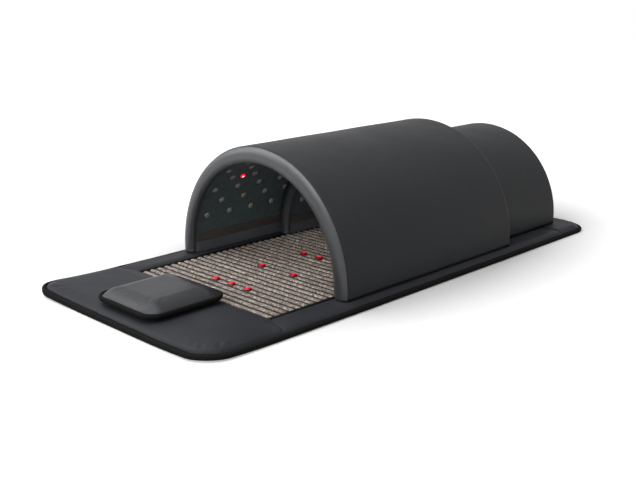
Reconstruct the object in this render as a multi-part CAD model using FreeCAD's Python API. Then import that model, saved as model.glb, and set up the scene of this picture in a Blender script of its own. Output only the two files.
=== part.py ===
import FreeCAD, Part
import math
import os

from FreeCAD import Rotation, Vector

# A two-piece infrared sauna tunnel on a heated stone mat, in millimetres.
# X runs from the head end to the foot end, Y from the near side to the far side, and Z is up.
# The origin is the middle of the mat, on the floor.

# Arches: both domes share one section, and the small one slides into the large one
DOME_RADIUS = 390.0  # outside of the large arch
LARGE_LENGTH = 870.0  # each dome, over its end rims
SMALL_LENGTH = 858.0
DOME_LEG = 25.0  # upright stretch of the wall below the half circle
NEST_GAP = 6.0  # air between the nested domes
REST_GAP = 0.3  # between a piece that slides or lifts and what it lies on

# Layers of a dome's wall, from the outside in
COVER = 1.5
PADDING = 12.0
SHELL = 10.0
LARGE_INSULATION = 20.0
SMALL_INSULATION = 13.0
FILM = 1.0  # heating film of the domes and of the mat
LINER = 2.5
LIP = 6.0  # how far the end rims stand in past the liner

# End rims, base and inner trims of a dome
RIM_FACE = 16.0  # padded end face
RIM_RETURN = 22.0  # depth of the rim on the inside
RIM_ROUND = 12.0
RIM_LENGTHS = 5  # a rim's roll is laid in lengths
PAD = 5.0  # strip that the wall stands on
PAD_ROUND = 3.5
SKIRT = 3.0
SKIRT_HEIGHT = 38.0
BAND = 2.0
BAND_HEIGHT = 30.0

# Stones and lamps in a dome's liner
STONE_DIAMETER = 23.0
STONE_TOP = 17.0  # flat of a bevelled stone
STONE_SIDES = 16
STONE_SEAT_STEP = 6.0  # facets of a stone's seat on the curved liner
STONE_HEIGHT = 4.0
STONE_PITCH = 100.0  # along a row
STONE_ROW_PITCH = 54.0  # between rows, along the arch
STONE_FIRST = 66.0  # first stone behind the rim's face
STONE_LOWEST = 130.0  # lowest row, along the arch from the dome's foot
LAMP_ANGLE = 45.5  # above the springing line, in degrees
LAMP_SETBACK = 157.0  # first lamp behind the rim's face
LAMPS_PER_SIDE = 3
LAMP_DIAMETER = 18.0
LAMP_STEM = 8.0
LAMP_RIM = 2.0
LAMP_CAP = 5.0

# Wiring, sensors, power socket and rail screws of a dome
LOOM = 1.5  # thickness of the flat wiring
LOOM_WIDTH = 12.0
SENSOR_LENGTH = 16.0
SENSOR_WIDTH = 9.0
SENSOR_DEPTH = 4.0
SENSOR_PITCH = 40.0
SOCKET_BEDDING = 1.0  # foam left on each side of the socket in the thinner wall
SOCKET_DEPTH = 40.0
SOCKET_FLANGE = 20.0
SOCKET_FLANGE_THICK = 2.5
SOCKET_WALL = 1.7
SOCKET_MOUTH = 12.0  # depth of the open mouth
SOCKET_RISE = 20.0  # above the springing line
SOCKET_LENGTH = 40.0  # of the rim above the socket
SCREW_DIAMETER = 4.0
SCREW_HEAD = 8.0
SCREW_HEAD_DEPTH = 2.5
SCREW_BITE = 9.0  # length of screw in the rail
SCREWS_PER_RAIL = 5

# Mat: layers from the floor up
SKIN = 2.0  # underside sheet and binding tape
CORE = 14.0
BACKING = 2.0
ROW_HEIGHT = 5.5  # stone rows above the backing
PANEL_RISE = 9.0  # borders and foot panel above the backing
FLANGE = 4.0  # sewn edge of the panels, under the binding

# Mat: plan
MAT_SHOW = 35.0  # mat outside the large dome, on each side
MAT_CORNER = 90.0
HEAD_PANEL = 320.0
FOOT_PANEL = 194.0
ROW_COUNT = 50
ROW_PITCH = 28.0
ROW_WIDTH = 16.0
BED_TUCK = 9.0  # stone bed ends this far inside the small dome's outer face
TRIM_WIDTH = 12.0
TRIM_HEIGHT = 5.0
BINDING_LIP = 12.0  # lap of the binding over the mat's edge
BINDING_ROUND = 5.0
PANEL_ROUND = 6.0
HEAD_RISE = 5.0  # head panel above the other panels
HEAD_ROUND = 11.0

# Mat: lamps, wiring, sensors and power socket
LENS_DIAMETER = 22.0
LENS_STEM = 8.0
LENS_BODY = 4.5
LENS_CAP = 7.5
BEZEL_WALL = 3.0
BEZEL_HEIGHT = 4.5
BEZEL_CLEAR = 1.0
LENS_SPACING = 76.0
FIRST_LAMP_ROW = 4
LAMP_ROW_STEP = 7
MAT_LOOM = 2.0
MAT_LOOM_WIDTH = 10.0
MAT_SOCKET_Y = 200.0
MAT_SOCKET_WIDTH = 26.0
MAT_SOCKET_DEPTH = 35.0
MAT_SOCKET_FLOOR = 2.0  # core left below the socket
MAT_SOCKET_WALL = 2.5
MAT_SOCKET_MOUTH = 10.0

# Where the loose pieces lie on the mat
LARGE_SETBACK = 230.0  # large dome behind the head panel's seam
SMALL_SETBACK = 404.0  # small dome's front behind the large dome's front

# Pillow
PILLOW_LENGTH = 285.0
PILLOW_WIDTH = 290.0
PILLOW_CORNER = 50.0
PILLOW_TOP_CORNER = 20.0  # corner of the level middle
PILLOW_SETBACK = 35.0  # from the head edge of the mat
PILLOW_TAPE = 4.0
PILLOW_TAPE_ROUND = 3.0
PILLOW_BELLY = 9.0  # convex underside, below the binding
PILLOW_EDGE = 16.0  # height of the binding
PILLOW_CROWN = 24.0  # crown above the binding
PILLOW_SHOULDER = 75.0  # from the bound edge in to the level middle
PILLOW_COVER = 1.5
PILLOW_STEPS = 6  # sections of the crown
LOFT_DEGREE = 2

# Worked out from the values above
LARGE_WALL = COVER + PADDING + SHELL + LARGE_INSULATION + FILM + LINER + LIP
SMALL_RADIUS = DOME_RADIUS - LARGE_WALL - NEST_GAP
SOCKET_DIAMETER = min(SMALL_INSULATION, LARGE_INSULATION) - 2 * SOCKET_BEDDING
CORE_TOP = SKIN + CORE
FILM_TOP = CORE_TOP + FILM
BED_FLOOR = FILM_TOP + BACKING
ROW_TOP = BED_FLOOR + ROW_HEIGHT
MAT_TOP = BED_FLOOR + PANEL_RISE
EDGE_HEIGHT = CORE_TOP + FLANGE + SKIN
HEAD_TOP = MAT_TOP + HEAD_RISE
DOME_FOOT = MAT_TOP + REST_GAP
SPRING = DOME_FOOT + DOME_LEG  # height of the arches' centre line
BED_LENGTH = ROW_COUNT * ROW_PITCH
MAT_LENGTH = HEAD_PANEL + BED_LENGTH + FOOT_PANEL
MAT_WIDTH = 2 * (DOME_RADIUS + MAT_SHOW)
HEAD_EDGE = -MAT_LENGTH / 2
FOOT_EDGE = MAT_LENGTH / 2
BED_START = HEAD_EDGE + HEAD_PANEL
BED_END = FOOT_EDGE - FOOT_PANEL
BED_HALF = SMALL_RADIUS - BED_TUCK
ROW_HALF = BED_HALF - TRIM_WIDTH
LARGE_FRONT = BED_START + LARGE_SETBACK
SMALL_FRONT = LARGE_FRONT + SMALL_SETBACK


def box(x0, x1, y0, y1, z0, z1):
    return Part.makeBox(x1 - x0, y1 - y0, z1 - z0, Vector(x0, y0, z0))


def wire(curves):
    return Part.Wire([curve.toShape() for curve in curves])


def fused(shapes):
    whole = shapes[0]
    for shape in shapes[1:]:
        whole = whole.fuse(shape)
    return whole.removeSplitter()


def group(shapes):
    solids = [solid for shape in shapes for solid in shape.Solids]
    return solids[0] if len(solids) == 1 else Part.makeCompound(solids)


def edges_at(shape, **planes):
    """Edges that lie whole in every plane given, as in x=0."""
    near = 1e-3
    found = []
    for edge in shape.Edges:
        bounds = edge.BoundBox
        low = {"x": bounds.XMin, "y": bounds.YMin, "z": bounds.ZMin}
        high = {"x": bounds.XMax, "y": bounds.YMax, "z": bounds.ZMax}
        if all(abs(low[axis] - at) < near and abs(high[axis] - at) < near for axis, at in planes.items()):
            found.append(edge)
    return found


def turned(points_and_arcs, place, direction):
    """Revolve a half section, drawn as (radius, height) about Z, and aim its axis."""
    curves = []
    for start, middle, end in points_and_arcs:
        first = Vector(start[0], 0, start[1])
        last = Vector(end[0], 0, end[1])
        if middle is None:
            curves.append(Part.LineSegment(first, last))
        else:
            curves.append(Part.Arc(first, Vector(middle[0], 0, middle[1]), last))
    solid = Part.Face(wire(curves)).revolve(Vector(0, 0, 0), Vector(0, 0, 1), 360)
    solid.Placement = FreeCAD.Placement(place, Rotation(Vector(0, 0, 1), direction))
    return solid


def half_section(corners):
    """Straight-sided half section from its corners, closed along the axis."""
    following = corners[1:] + corners[:1]
    return [(start, None, end) for start, end in zip(corners, following)]


def faceted(levels, sides):
    """Ruled solid through regular polygons about Z, given as (radius, height) from the base up."""
    rings = []
    for radius, height in levels:
        turns = [2 * math.pi * side / sides for side in range(sides)]
        corners = [Vector(radius * math.cos(turn), radius * math.sin(turn), height) for turn in turns]
        rings.append(Part.makePolygon(corners + corners[:1]))
    return Part.makeLoft(rings, True, True)


def standing(solid, place, direction):
    """Copy of a solid that stands along Z, set on a place and pointing in a direction."""
    moved = solid.copy()
    moved.Placement = FreeCAD.Placement(place, Rotation(Vector(0, 0, 1), direction))
    return moved


def lens_section(stem_radius, stem, radius, body, cap, sunk=0):
    """Stem below zero, round body that may start a little below it too, and a domed cap."""
    cap_middle = 0.75 * cap
    spread = cap_radius_at(radius, cap, cap_middle)
    corners = [(0, -stem), (stem_radius, -stem), (stem_radius, -sunk), (radius, -sunk), (radius, body)]
    lines = half_section(corners)[:-1]
    dome = ((radius, body), (spread, body + cap_middle), (0, body + cap))
    return lines + [dome, ((0, body + cap), None, (0, -stem))]


def cap_radius_at(radius, cap, height):
    """Radius of a spherical cap at a height above its rim."""
    ball = (radius**2 + cap**2) / (2 * cap)
    return math.sqrt(ball**2 - (ball - cap + height) ** 2)


def under_arch(radius, x0, x1, foot):
    """Solid space below an arch: a half cylinder on a block as deep as the legs."""
    near, far = Vector(x0, -radius, SPRING), Vector(x0, radius, SPRING)
    near_foot, far_foot = Vector(x0, -radius, foot), Vector(x0, radius, foot)
    outline = wire(
        [
            Part.LineSegment(far_foot, far),
            Part.Arc(far, Vector(x0, 0, SPRING + radius), near),
            Part.LineSegment(near, near_foot),
            Part.LineSegment(near_foot, far_foot),
        ]
    )
    return Part.Face(outline).extrude(Vector(x1 - x0, 0, 0))


def arch(outer, inner, x0, x1, foot=DOME_FOOT):
    return under_arch(outer, x0, x1, foot).cut(under_arch(inner, x0, x1, foot))


def above(shape, height):
    bounds = shape.BoundBox
    return shape.common(box(bounds.XMin, bounds.XMax, bounds.YMin, bounds.YMax, height, bounds.ZMax))


def between(shape, low, high):
    bounds = shape.BoundBox
    return shape.common(box(bounds.XMin, bounds.XMax, bounds.YMin, bounds.YMax, low, high))


def on_arch(radius, angle, x):
    """Point on an arch at an angle above the far springing line, and the way in to the centre."""
    across, rise = math.cos(math.radians(angle)), math.sin(math.radians(angle))
    return Vector(x, radius * across, SPRING + radius * rise), Vector(0, -across, -rise)


class Dome:
    """Layer radii and ends of one dome."""

    def __init__(self, radius, insulation, front, length):
        self.radius = radius
        self.insulation = insulation
        self.front = front
        self.rear = front + length
        self.start = self.front + RIM_FACE
        self.end = self.rear - RIM_FACE
        self.padding = radius - COVER
        self.shell = self.padding - PADDING
        self.foam = self.shell - SHELL
        self.film = self.foam - insulation
        self.liner = self.film - FILM
        self.inside = self.liner - LINER
        self.rim = self.inside - LIP
        self.foot = DOME_FOOT + PAD

    def wall(self, outer, inner):
        return arch(outer, inner, self.start, self.end, self.foot)


def end_rim(dome):
    """Padded leather end: a face over the wall's edge and a lip turned in over the liner."""
    face = arch(dome.radius, dome.rim, dome.front, dome.start)
    lip = arch(dome.inside, dome.rim, dome.start, dome.front + RIM_RETURN)
    rim = fused([face, lip])
    return rim.makeFillet(RIM_ROUND, edges_at(rim, x=dome.front))


def in_lengths(rim, more=()):
    """A rim's roll in lengths, cut square across the arch, with more joints at the angles given."""
    bounds = rim.BoundBox
    turn = 180 / RIM_LENGTHS
    joints = sorted([index * turn for index in range(1, RIM_LENGTHS)] + list(more))
    axis = Vector(bounds.XMin, 0, SPRING)
    lengths = []
    for first, last in zip([-turn] + joints, joints + [180 + turn]):
        spokes = [on_arch(2 * DOME_RADIUS, angle, bounds.XMin)[0] for angle in (first, (first + last) / 2, last)]
        wedge = Part.Face(Part.makePolygon([axis] + spokes + [axis])).extrude(Vector(bounds.XLength, 0, 0))
        lengths.append(rim.common(wedge))
    return lengths


def socket_joints(dome):
    """Two lengths of the rear rim meet at the socket, and the upper one is short."""
    axis = socket_axis(dome)
    angle = math.degrees(math.atan2(SOCKET_RISE, axis.y))
    return [angle, angle + math.degrees(SOCKET_LENGTH / axis.y)]


def mirrored_end(shape, dome):
    return shape.mirror(Vector((dome.front + dome.rear) / 2, 0, 0), Vector(1, 0, 0))


def base_pads(dome):
    pads = []
    for side in (-1, 1):
        low, high = sorted((side * dome.inside, side * dome.radius))
        pad = box(dome.start, dome.end, low, high, DOME_FOOT, dome.foot)
        pads.append(pad.makeFillet(PAD_ROUND, edges_at(pad, y=side * dome.radius, z=DOME_FOOT)))
    return pads


def base_rails(dome):
    rails = []
    for side in (-1, 1):
        low, high = sorted((side * dome.liner, side * dome.foam))
        rails.append(box(dome.start, dome.end, low, high, dome.foot, SPRING))
    return rails


def rail_screws(dome):
    """Countersunk screws through the shell into the rails."""
    head, shank = SCREW_HEAD / 2, SCREW_DIAMETER / 2
    tip = SHELL + SCREW_BITE
    section = half_section([(0, 0), (head, 0), (shank, SCREW_HEAD_DEPTH), (shank, tip), (0, tip)])
    step = (dome.end - dome.start) / SCREWS_PER_RAIL
    height = (dome.foot + SPRING) / 2
    screws = []
    for side in (-1, 1):
        for index in range(SCREWS_PER_RAIL):
            place = Vector(dome.start + (index + 0.5) * step, side * dome.shell, height)
            screws.append(turned(section, place, Vector(0, -side, 0)))
    return screws


def socket_axis(dome):
    return Vector(dome.rear, dome.film + dome.insulation / 2, SPRING + SOCKET_RISE)


def power_socket(dome):
    """Round inlet in the rear rim's face, on the far side."""
    body, flange = SOCKET_DIAMETER / 2, SOCKET_FLANGE / 2
    bore = body - SOCKET_WALL
    mouth = SOCKET_FLANGE_THICK
    floor = mouth - SOCKET_MOUTH
    corners = [(0, -SOCKET_DEPTH), (body, -SOCKET_DEPTH), (body, 0), (flange, 0)]
    corners += [(flange, mouth), (bore, mouth), (bore, floor), (0, floor)]
    return turned(half_section(corners), socket_axis(dome), Vector(1, 0, 0))


def socket_hole(dome):
    return Part.makeCylinder(SOCKET_DIAMETER / 2, SOCKET_DEPTH, socket_axis(dome), Vector(-1, 0, 0))


def lamp_places(dome):
    first, last = dome.front + LAMP_SETBACK, dome.rear - LAMP_SETBACK
    step = (last - first) / (LAMPS_PER_SIDE - 1)
    stations = [first + index * step for index in range(LAMPS_PER_SIDE)]
    return [(x, angle) for x in stations for angle in (LAMP_ANGLE, 180 - LAMP_ANGLE)]


def lamps(dome):
    """Domed lenses for the liner, whose stems reach through it to the wiring's curved face."""
    stem = LINER + FILM + LOOM
    section = lens_section(LAMP_STEM / 2, stem, LAMP_DIAMETER / 2, LAMP_RIM, LAMP_CAP, sunk=LINER / 2)
    lenses = []
    for x, angle in lamp_places(dome):
        place, inward = on_arch(dome.inside, angle, x)
        lenses.append(turned(section, place, inward))
    wiring_face = under_arch(dome.film, dome.front, dome.rear, DOME_FOOT)
    return [lens.common(wiring_face) for lens in lenses]


def lamp_holes(dome):
    holes = []
    for x, angle in lamp_places(dome):
        place, inward = on_arch(dome.inside - LAMP_RIM, angle, x)
        holes.append(Part.makeCylinder(LAMP_STEM / 2, LAMP_RIM + LINER + FILM + LOOM, place, inward * -1))
    return Part.makeCompound(holes)


def liner_stone(radius):
    """One cut disc, with a faceted seat that lies on the inside of an arch; it stands along Z."""
    edge, flat = STONE_DIAMETER / 2, STONE_TOP / 2
    levels = [(edge, -LINER / 2), (edge, 0), (flat, STONE_HEIGHT)]
    steps = math.ceil(edge / STONE_SEAT_STEP)
    across = [step * STONE_SEAT_STEP for step in range(-steps, steps + 1)]
    reach = steps * STONE_SEAT_STEP
    seat = [Vector(-reach, y, radius - math.sqrt(radius**2 - y**2)) for y in across]
    outline = [Vector(-reach, -reach, -LINER)] + seat + [Vector(-reach, reach, -LINER)]
    below = Part.Face(Part.makePolygon(outline + outline[:1])).extrude(Vector(2 * reach, 0, 0))
    return faceted(levels, STONE_SIDES).cut(below)


def liner_stones(dome):
    """Cut discs in staggered rows over the liner."""
    stone = liner_stone(dome.inside)
    arc = math.pi * dome.inside
    rows = int((arc + 2 * DOME_LEG - 2 * STONE_LOWEST) // STONE_ROW_PITCH) + 1
    spread = (rows - 1) * STONE_ROW_PITCH
    lowest_angle = 90 - math.degrees(spread / 2 / dome.inside)
    row_angle = math.degrees(STONE_ROW_PITCH / dome.inside)
    clear = (STONE_DIAMETER + LAMP_DIAMETER) / 2
    lamp_points = [on_arch(dome.inside, angle, x)[0] for x, angle in lamp_places(dome)]
    stones = []
    for row in range(rows):
        angle = lowest_angle + row * row_angle
        x = dome.front + STONE_FIRST + (row % 2) * STONE_PITCH / 2
        while x < dome.rear - STONE_FIRST + STONE_DIAMETER / 2:
            place, inward = on_arch(dome.inside, angle, x)
            if all((point - place).Length > clear for point in lamp_points):
                stones.append(standing(stone, place, inward))
            x += STONE_PITCH
    return stones


def wiring_loom(dome):
    """Flat leads behind the heating film: one along each row of lamps and one across to the socket."""
    sheet = above(arch(dome.film + LOOM, dome.film, dome.start, dome.end), SPRING)
    cross_end = dome.rear - SOCKET_DEPTH + LOOM_WIDTH
    half = LOOM_WIDTH / 2
    reach = dome.film + 2 * LOOM
    strips = []
    for angle in (LAMP_ANGLE, 180 - LAMP_ANGLE):
        strip = box(dome.front + LAMP_SETBACK - half, cross_end, -half, half, 0, reach)
        strip.rotate(Vector(0, 0, 0), Vector(1, 0, 0), angle - 90)
        strip.translate(Vector(0, 0, SPRING))
        strips.append(sheet.common(strip))
    start = cross_end - LOOM_WIDTH
    foot = SPRING + SOCKET_RISE - half
    cross = sheet.common(box(start, cross_end, -reach, reach, foot, SPRING + reach))
    stop = dome.film * math.sin(math.radians(LAMP_ANGLE)) + SPRING - half
    spare = box(start, cross_end, -reach, 0, foot, stop)
    axis = socket_axis(dome)
    tail = box(start, cross_end, dome.rim, axis.y, axis.z - half, axis.z + half)
    tail = tail.common(arch(dome.foam, dome.film, dome.start, dome.end))
    return fused(strips + [cross.cut(spare), tail]).cut(socket_hole(dome))


def heat_sensors(dome):
    """Thermistor and cut-out let into the foam at the crown, against the heating film."""
    crown = above(arch(dome.film + SENSOR_DEPTH, dome.film, dome.front, dome.rear), SPRING)
    middle = (dome.front + dome.rear) / 2
    sensors = []
    for side in (-1, 1):
        x = middle + side * SENSOR_PITCH / 2
        half_length, half_width = SENSOR_LENGTH / 2, SENSOR_WIDTH / 2
        pocket = box(x - half_length, x + half_length, -half_width, half_width, SPRING, SPRING + dome.foam)
        sensors.append(crown.common(pocket))
    return sensors


def dome_nodes(name, dome):
    """Every piece of one dome, from the cover in to the stones."""
    screws = Part.makeCompound(rail_screws(dome))
    holes = lamp_holes(dome)
    loom = wiring_loom(dome)
    sensors = heat_sensors(dome)
    front_rim = end_rim(dome)
    inlet = socket_hole(dome)
    foam = above(dome.wall(dome.foam, dome.film), SPRING)
    film = above(dome.wall(dome.film, dome.liner), SPRING)
    liner = dome.wall(dome.liner, dome.inside).cut(holes)
    trim_start, trim_end = dome.front + RIM_RETURN, dome.rear - RIM_RETURN
    skirt = arch(dome.inside, dome.inside - SKIRT, trim_start, trim_end)
    band = arch(dome.inside, dome.inside - BAND, trim_start, trim_end)
    skirt_top = DOME_FOOT + SKIRT_HEIGHT
    pieces = {
        "cover": [dome.wall(dome.radius, dome.padding)],
        "padding": [dome.wall(dome.padding, dome.shell)],
        "shell": [dome.wall(dome.shell, dome.foam).cut(screws)],
        "insulation": [foam.cut(Part.makeCompound([loom, inlet] + sensors))],
        "heating_film": [film.cut(holes)],
        "wiring_loom": [loom],
        "heat_sensors": sensors,
        "liner": [liner],
        "liner_stones": liner_stones(dome),
        "lamps": [lamp.cut(liner) for lamp in lamps(dome)],
        "inner_skirts": [between(skirt, DOME_FOOT, skirt_top)],
        "skirt_bands": [between(band, skirt_top, skirt_top + BAND_HEIGHT)],
        "front_rim": in_lengths(front_rim),
        "rear_rim": in_lengths(mirrored_end(front_rim, dome).cut(inlet), socket_joints(dome)),
        "base_rails": [rail.cut(screws) for rail in base_rails(dome)],
        "base_pads": base_pads(dome),
        "rail_screws": [screws],
        "power_socket": [power_socket(dome)],
    }
    return {f"{name}_{piece}": group(shapes) for piece, shapes in pieces.items()}


def rounded_outline(x0, x1, half_width, radius, z):
    """Rectangle with round corners, as lines and quarter arcs."""
    slope = radius * (1 - math.sqrt(0.5))
    y0, y1 = -half_width, half_width
    sides = [
        Part.LineSegment(Vector(x0 + radius, y0, z), Vector(x1 - radius, y0, z)),
        Part.Arc(Vector(x1 - radius, y0, z), Vector(x1 - slope, y0 + slope, z), Vector(x1, y0 + radius, z)),
        Part.LineSegment(Vector(x1, y0 + radius, z), Vector(x1, y1 - radius, z)),
        Part.Arc(Vector(x1, y1 - radius, z), Vector(x1 - slope, y1 - slope, z), Vector(x1 - radius, y1, z)),
        Part.LineSegment(Vector(x1 - radius, y1, z), Vector(x0 + radius, y1, z)),
        Part.Arc(Vector(x0 + radius, y1, z), Vector(x0 + slope, y1 - slope, z), Vector(x0, y1 - radius, z)),
        Part.LineSegment(Vector(x0, y1 - radius, z), Vector(x0, y0 + radius, z)),
        Part.Arc(Vector(x0, y0 + radius, z), Vector(x0 + slope, y0 + slope, z), Vector(x0 + radius, y0, z)),
    ]
    return wire(sides)


def mat_slab(inset, z0, z1):
    half_width, radius = MAT_WIDTH / 2 - inset, MAT_CORNER - inset
    outline = rounded_outline(HEAD_EDGE + inset, FOOT_EDGE - inset, half_width, radius, z0)
    return Part.Face(outline).extrude(Vector(0, 0, z1 - z0))


def mat_binding():
    """Tape folded over the mat's edge: two lips and a round outer fold."""
    roll = mat_slab(0, 0, EDGE_HEIGHT)
    roll = roll.makeFillet(BINDING_ROUND, edges_at(roll, z=0) + edges_at(roll, z=EDGE_HEIGHT))
    inside = mat_slab(SKIN, SKIN, EDGE_HEIGHT - SKIN)
    return roll.cut(inside).cut(mat_slab(BINDING_LIP, 0, EDGE_HEIGHT)).cut(mat_socket_block())


def padded_panel(x0, x1, y0, y1, top, roundness):
    """Panel with a thin edge sewn under the binding and a padded, round-shouldered top."""
    window = box(x0, x1, y0, y1, 0, top)
    edge = mat_slab(SKIN, CORE_TOP, CORE_TOP + FLANGE).common(window)
    pad = mat_slab(BINDING_LIP, CORE_TOP, top).common(window)
    pad = pad.makeFillet(roundness, edges_at(pad, z=top))
    return fused([edge, pad])


def row_middle(index):
    return BED_START + (index + 0.5) * ROW_PITCH


def lens_places():
    """Lamps three and two by turns, every few rows of stone."""
    places = []
    for turn, row in enumerate(range(FIRST_LAMP_ROW, ROW_COUNT, LAMP_ROW_STEP)):
        offsets = (-1, 0, 1) if turn % 2 == 0 else (-1, 1)
        places += [Vector(row_middle(row), offset * LENS_SPACING, BED_FLOOR) for offset in offsets]
    return places


def stone_quilt():
    """Fabric sewn into channels of crushed stone across the mat, on one backing sheet."""
    half = ROW_WIDTH / 2
    start = Vector(BED_START, -ROW_HALF, BED_FLOOR)
    curves = []
    for index in range(ROW_COUNT):
        x = row_middle(index)
        left, right = Vector(x - half, -ROW_HALF, BED_FLOOR), Vector(x + half, -ROW_HALF, BED_FLOOR)
        curves.append(Part.LineSegment(start, left))
        curves.append(Part.Arc(left, Vector(x, -ROW_HALF, ROW_TOP), right))
        start = right
    frame = ((BED_END, BED_FLOOR), (BED_END, FILM_TOP), (BED_START, FILM_TOP), (BED_START, BED_FLOOR))
    corners = [start] + [Vector(x, -ROW_HALF, z) for x, z in frame]
    curves += [Part.LineSegment(first, last) for first, last in zip(corners, corners[1:])]
    channels = Part.Face(wire(curves)).extrude(Vector(0, 2 * ROW_HALF, 0))
    backing = box(BED_START, BED_END, -BED_HALF, BED_HALF, FILM_TOP, BED_FLOOR)
    seat = LENS_DIAMETER / 2 + BEZEL_WALL + BEZEL_CLEAR
    seats = [Part.makeCylinder(seat, 2 * ROW_HEIGHT, place) for place in lens_places()]
    return fused([channels, backing]).cut(Part.makeCompound(seats)).cut(lens_holes())


def lens_holes():
    depth = BACKING + FILM
    feet = [place - Vector(0, 0, depth) for place in lens_places()]
    return Part.makeCompound([Part.makeCylinder(LENS_STEM / 2, depth, foot) for foot in feet])


def mat_lenses():
    section = lens_section(LENS_STEM / 2, BACKING + FILM, LENS_DIAMETER / 2, LENS_BODY, LENS_CAP)
    return [turned(section, place, Vector(0, 0, 1)) for place in lens_places()]


def lens_bezels():
    inner = LENS_DIAMETER / 2
    outer = inner + BEZEL_WALL
    shoulder = BEZEL_HEIGHT - BEZEL_WALL
    section = half_section([(inner, 0), (outer, 0), (outer, shoulder), (inner, BEZEL_HEIGHT)])
    return [turned(section, place, Vector(0, 0, 1)) for place in lens_places()]


def mat_socket_block():
    half = MAT_SOCKET_WIDTH / 2
    low, high = SKIN + MAT_SOCKET_FLOOR, CORE_TOP - MAT_LOOM
    return box(FOOT_EDGE - MAT_SOCKET_DEPTH, FOOT_EDGE, MAT_SOCKET_Y - half, MAT_SOCKET_Y + half, low, high)


def mat_socket():
    """Inlet at the foot end, flush with the binding, with an open mouth."""
    block = mat_socket_block()
    bounds = block.BoundBox
    wall = MAT_SOCKET_WALL
    y0, y1, z0, z1 = bounds.YMin + wall, bounds.YMax - wall, bounds.ZMin + wall, bounds.ZMax - wall
    return block.cut(box(FOOT_EDGE - MAT_SOCKET_MOUTH, FOOT_EDGE, y0, y1, z0, z1))


def mat_loom():
    """Flat leads let into the top of the core: one below each row of lamps, and one along to the socket."""
    half = MAT_LOOM_WIDTH / 2
    low = CORE_TOP - MAT_LOOM
    rows = sorted({place.x for place in lens_places()})
    reach = LENS_SPACING + MAT_LOOM_WIDTH
    leads = [box(x - half, x + half, -reach, MAT_SOCKET_Y + half, low, CORE_TOP) for x in rows]
    end = FOOT_EDGE - MAT_SOCKET_DEPTH + MAT_LOOM_WIDTH
    leads.append(box(rows[0] - half, end, MAT_SOCKET_Y - half, MAT_SOCKET_Y + half, low, CORE_TOP))
    return fused(leads)


def mat_sensors():
    """Thermistor and cut-out let into the core between two rows of lamps."""
    x = row_middle(FIRST_LAMP_ROW + LAMP_ROW_STEP // 2)
    half_length, half_width = SENSOR_LENGTH / 2, SENSOR_WIDTH / 2
    floor = CORE_TOP - SENSOR_DEPTH
    places = (-SENSOR_PITCH / 2, SENSOR_PITCH / 2)
    return [
        box(x - half_length, x + half_length, y - half_width, y + half_width, floor, CORE_TOP) for y in places
    ]


def mat_nodes():
    loom, sensors = mat_loom(), mat_sensors()
    core = mat_slab(SKIN, SKIN, CORE_TOP).cut(Part.makeCompound([loom, mat_socket_block()] + sensors))
    film = box(BED_START, BED_END, -BED_HALF, BED_HALF, CORE_TOP, FILM_TOP).cut(lens_holes())
    side = MAT_WIDTH / 2
    trim_top = BED_FLOOR + TRIM_HEIGHT
    trims = [box(BED_START, BED_END, y, y + TRIM_WIDTH, BED_FLOOR, trim_top) for y in (-BED_HALF, ROW_HALF)]
    pieces = {
        "underside": [mat_slab(BINDING_LIP, 0, SKIN)],
        "core": [core],
        "heating_film": [film],
        "stone_quilt": [stone_quilt()],
        "bed_trims": trims,
        "head_panel": [padded_panel(HEAD_EDGE, BED_START, -side, side, HEAD_TOP, HEAD_ROUND)],
        "foot_panel": [padded_panel(BED_END, FOOT_EDGE, -side, side, MAT_TOP, PANEL_ROUND)],
        "near_border": [padded_panel(BED_START, BED_END, -side, -BED_HALF, MAT_TOP, PANEL_ROUND)],
        "far_border": [padded_panel(BED_START, BED_END, BED_HALF, side, MAT_TOP, PANEL_ROUND)],
        "binding": [mat_binding()],
        "lamp_lenses": mat_lenses(),
        "lamp_bezels": lens_bezels(),
        "wiring_loom": [loom],
        "heat_sensors": sensors,
        "power_socket": [mat_socket()],
    }
    return {f"mat_{piece}": group(shapes) for piece, shapes in pieces.items()}


PILLOW_FOOT = HEAD_TOP + REST_GAP
PILLOW_LOW = PILLOW_FOOT + PILLOW_BELLY
PILLOW_MIDDLE = PILLOW_LOW + PILLOW_EDGE / 2
PILLOW_HIGH = PILLOW_LOW + PILLOW_EDGE


def pillow_outline(edge, share, z):
    """Outline of the pillow at a height: share runs from the given edge to the level middle."""
    inset = edge + share * PILLOW_SHOULDER
    radius = PILLOW_CORNER - edge - share * (PILLOW_CORNER - PILLOW_TOP_CORNER)
    x0 = HEAD_EDGE + PILLOW_SETBACK
    return rounded_outline(x0 + inset, x0 + PILLOW_LENGTH - inset, PILLOW_WIDTH / 2 - inset, radius, z)


def pillow_half(start, rise, edge, skin):
    """One side of the pillow: an upright edge inside the binding, then a crown with an elliptic swell."""
    low, high = sorted((start, PILLOW_MIDDLE))
    side = Part.Face(pillow_outline(edge, 0, low)).extrude(Vector(0, 0, high - low))
    height = rise - math.copysign(skin, rise)
    sections = []
    for step in range(PILLOW_STEPS + 1):
        turn = math.radians(90 * step / PILLOW_STEPS)
        share = 1 - math.cos(turn)
        sections.append(pillow_outline(edge, share, start + height * math.sin(turn)))
    sections.sort(key=lambda section: section.BoundBox.ZMin)
    return fused([side, Part.makeLoft(sections, True, False, False, LOFT_DEGREE)])


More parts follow.
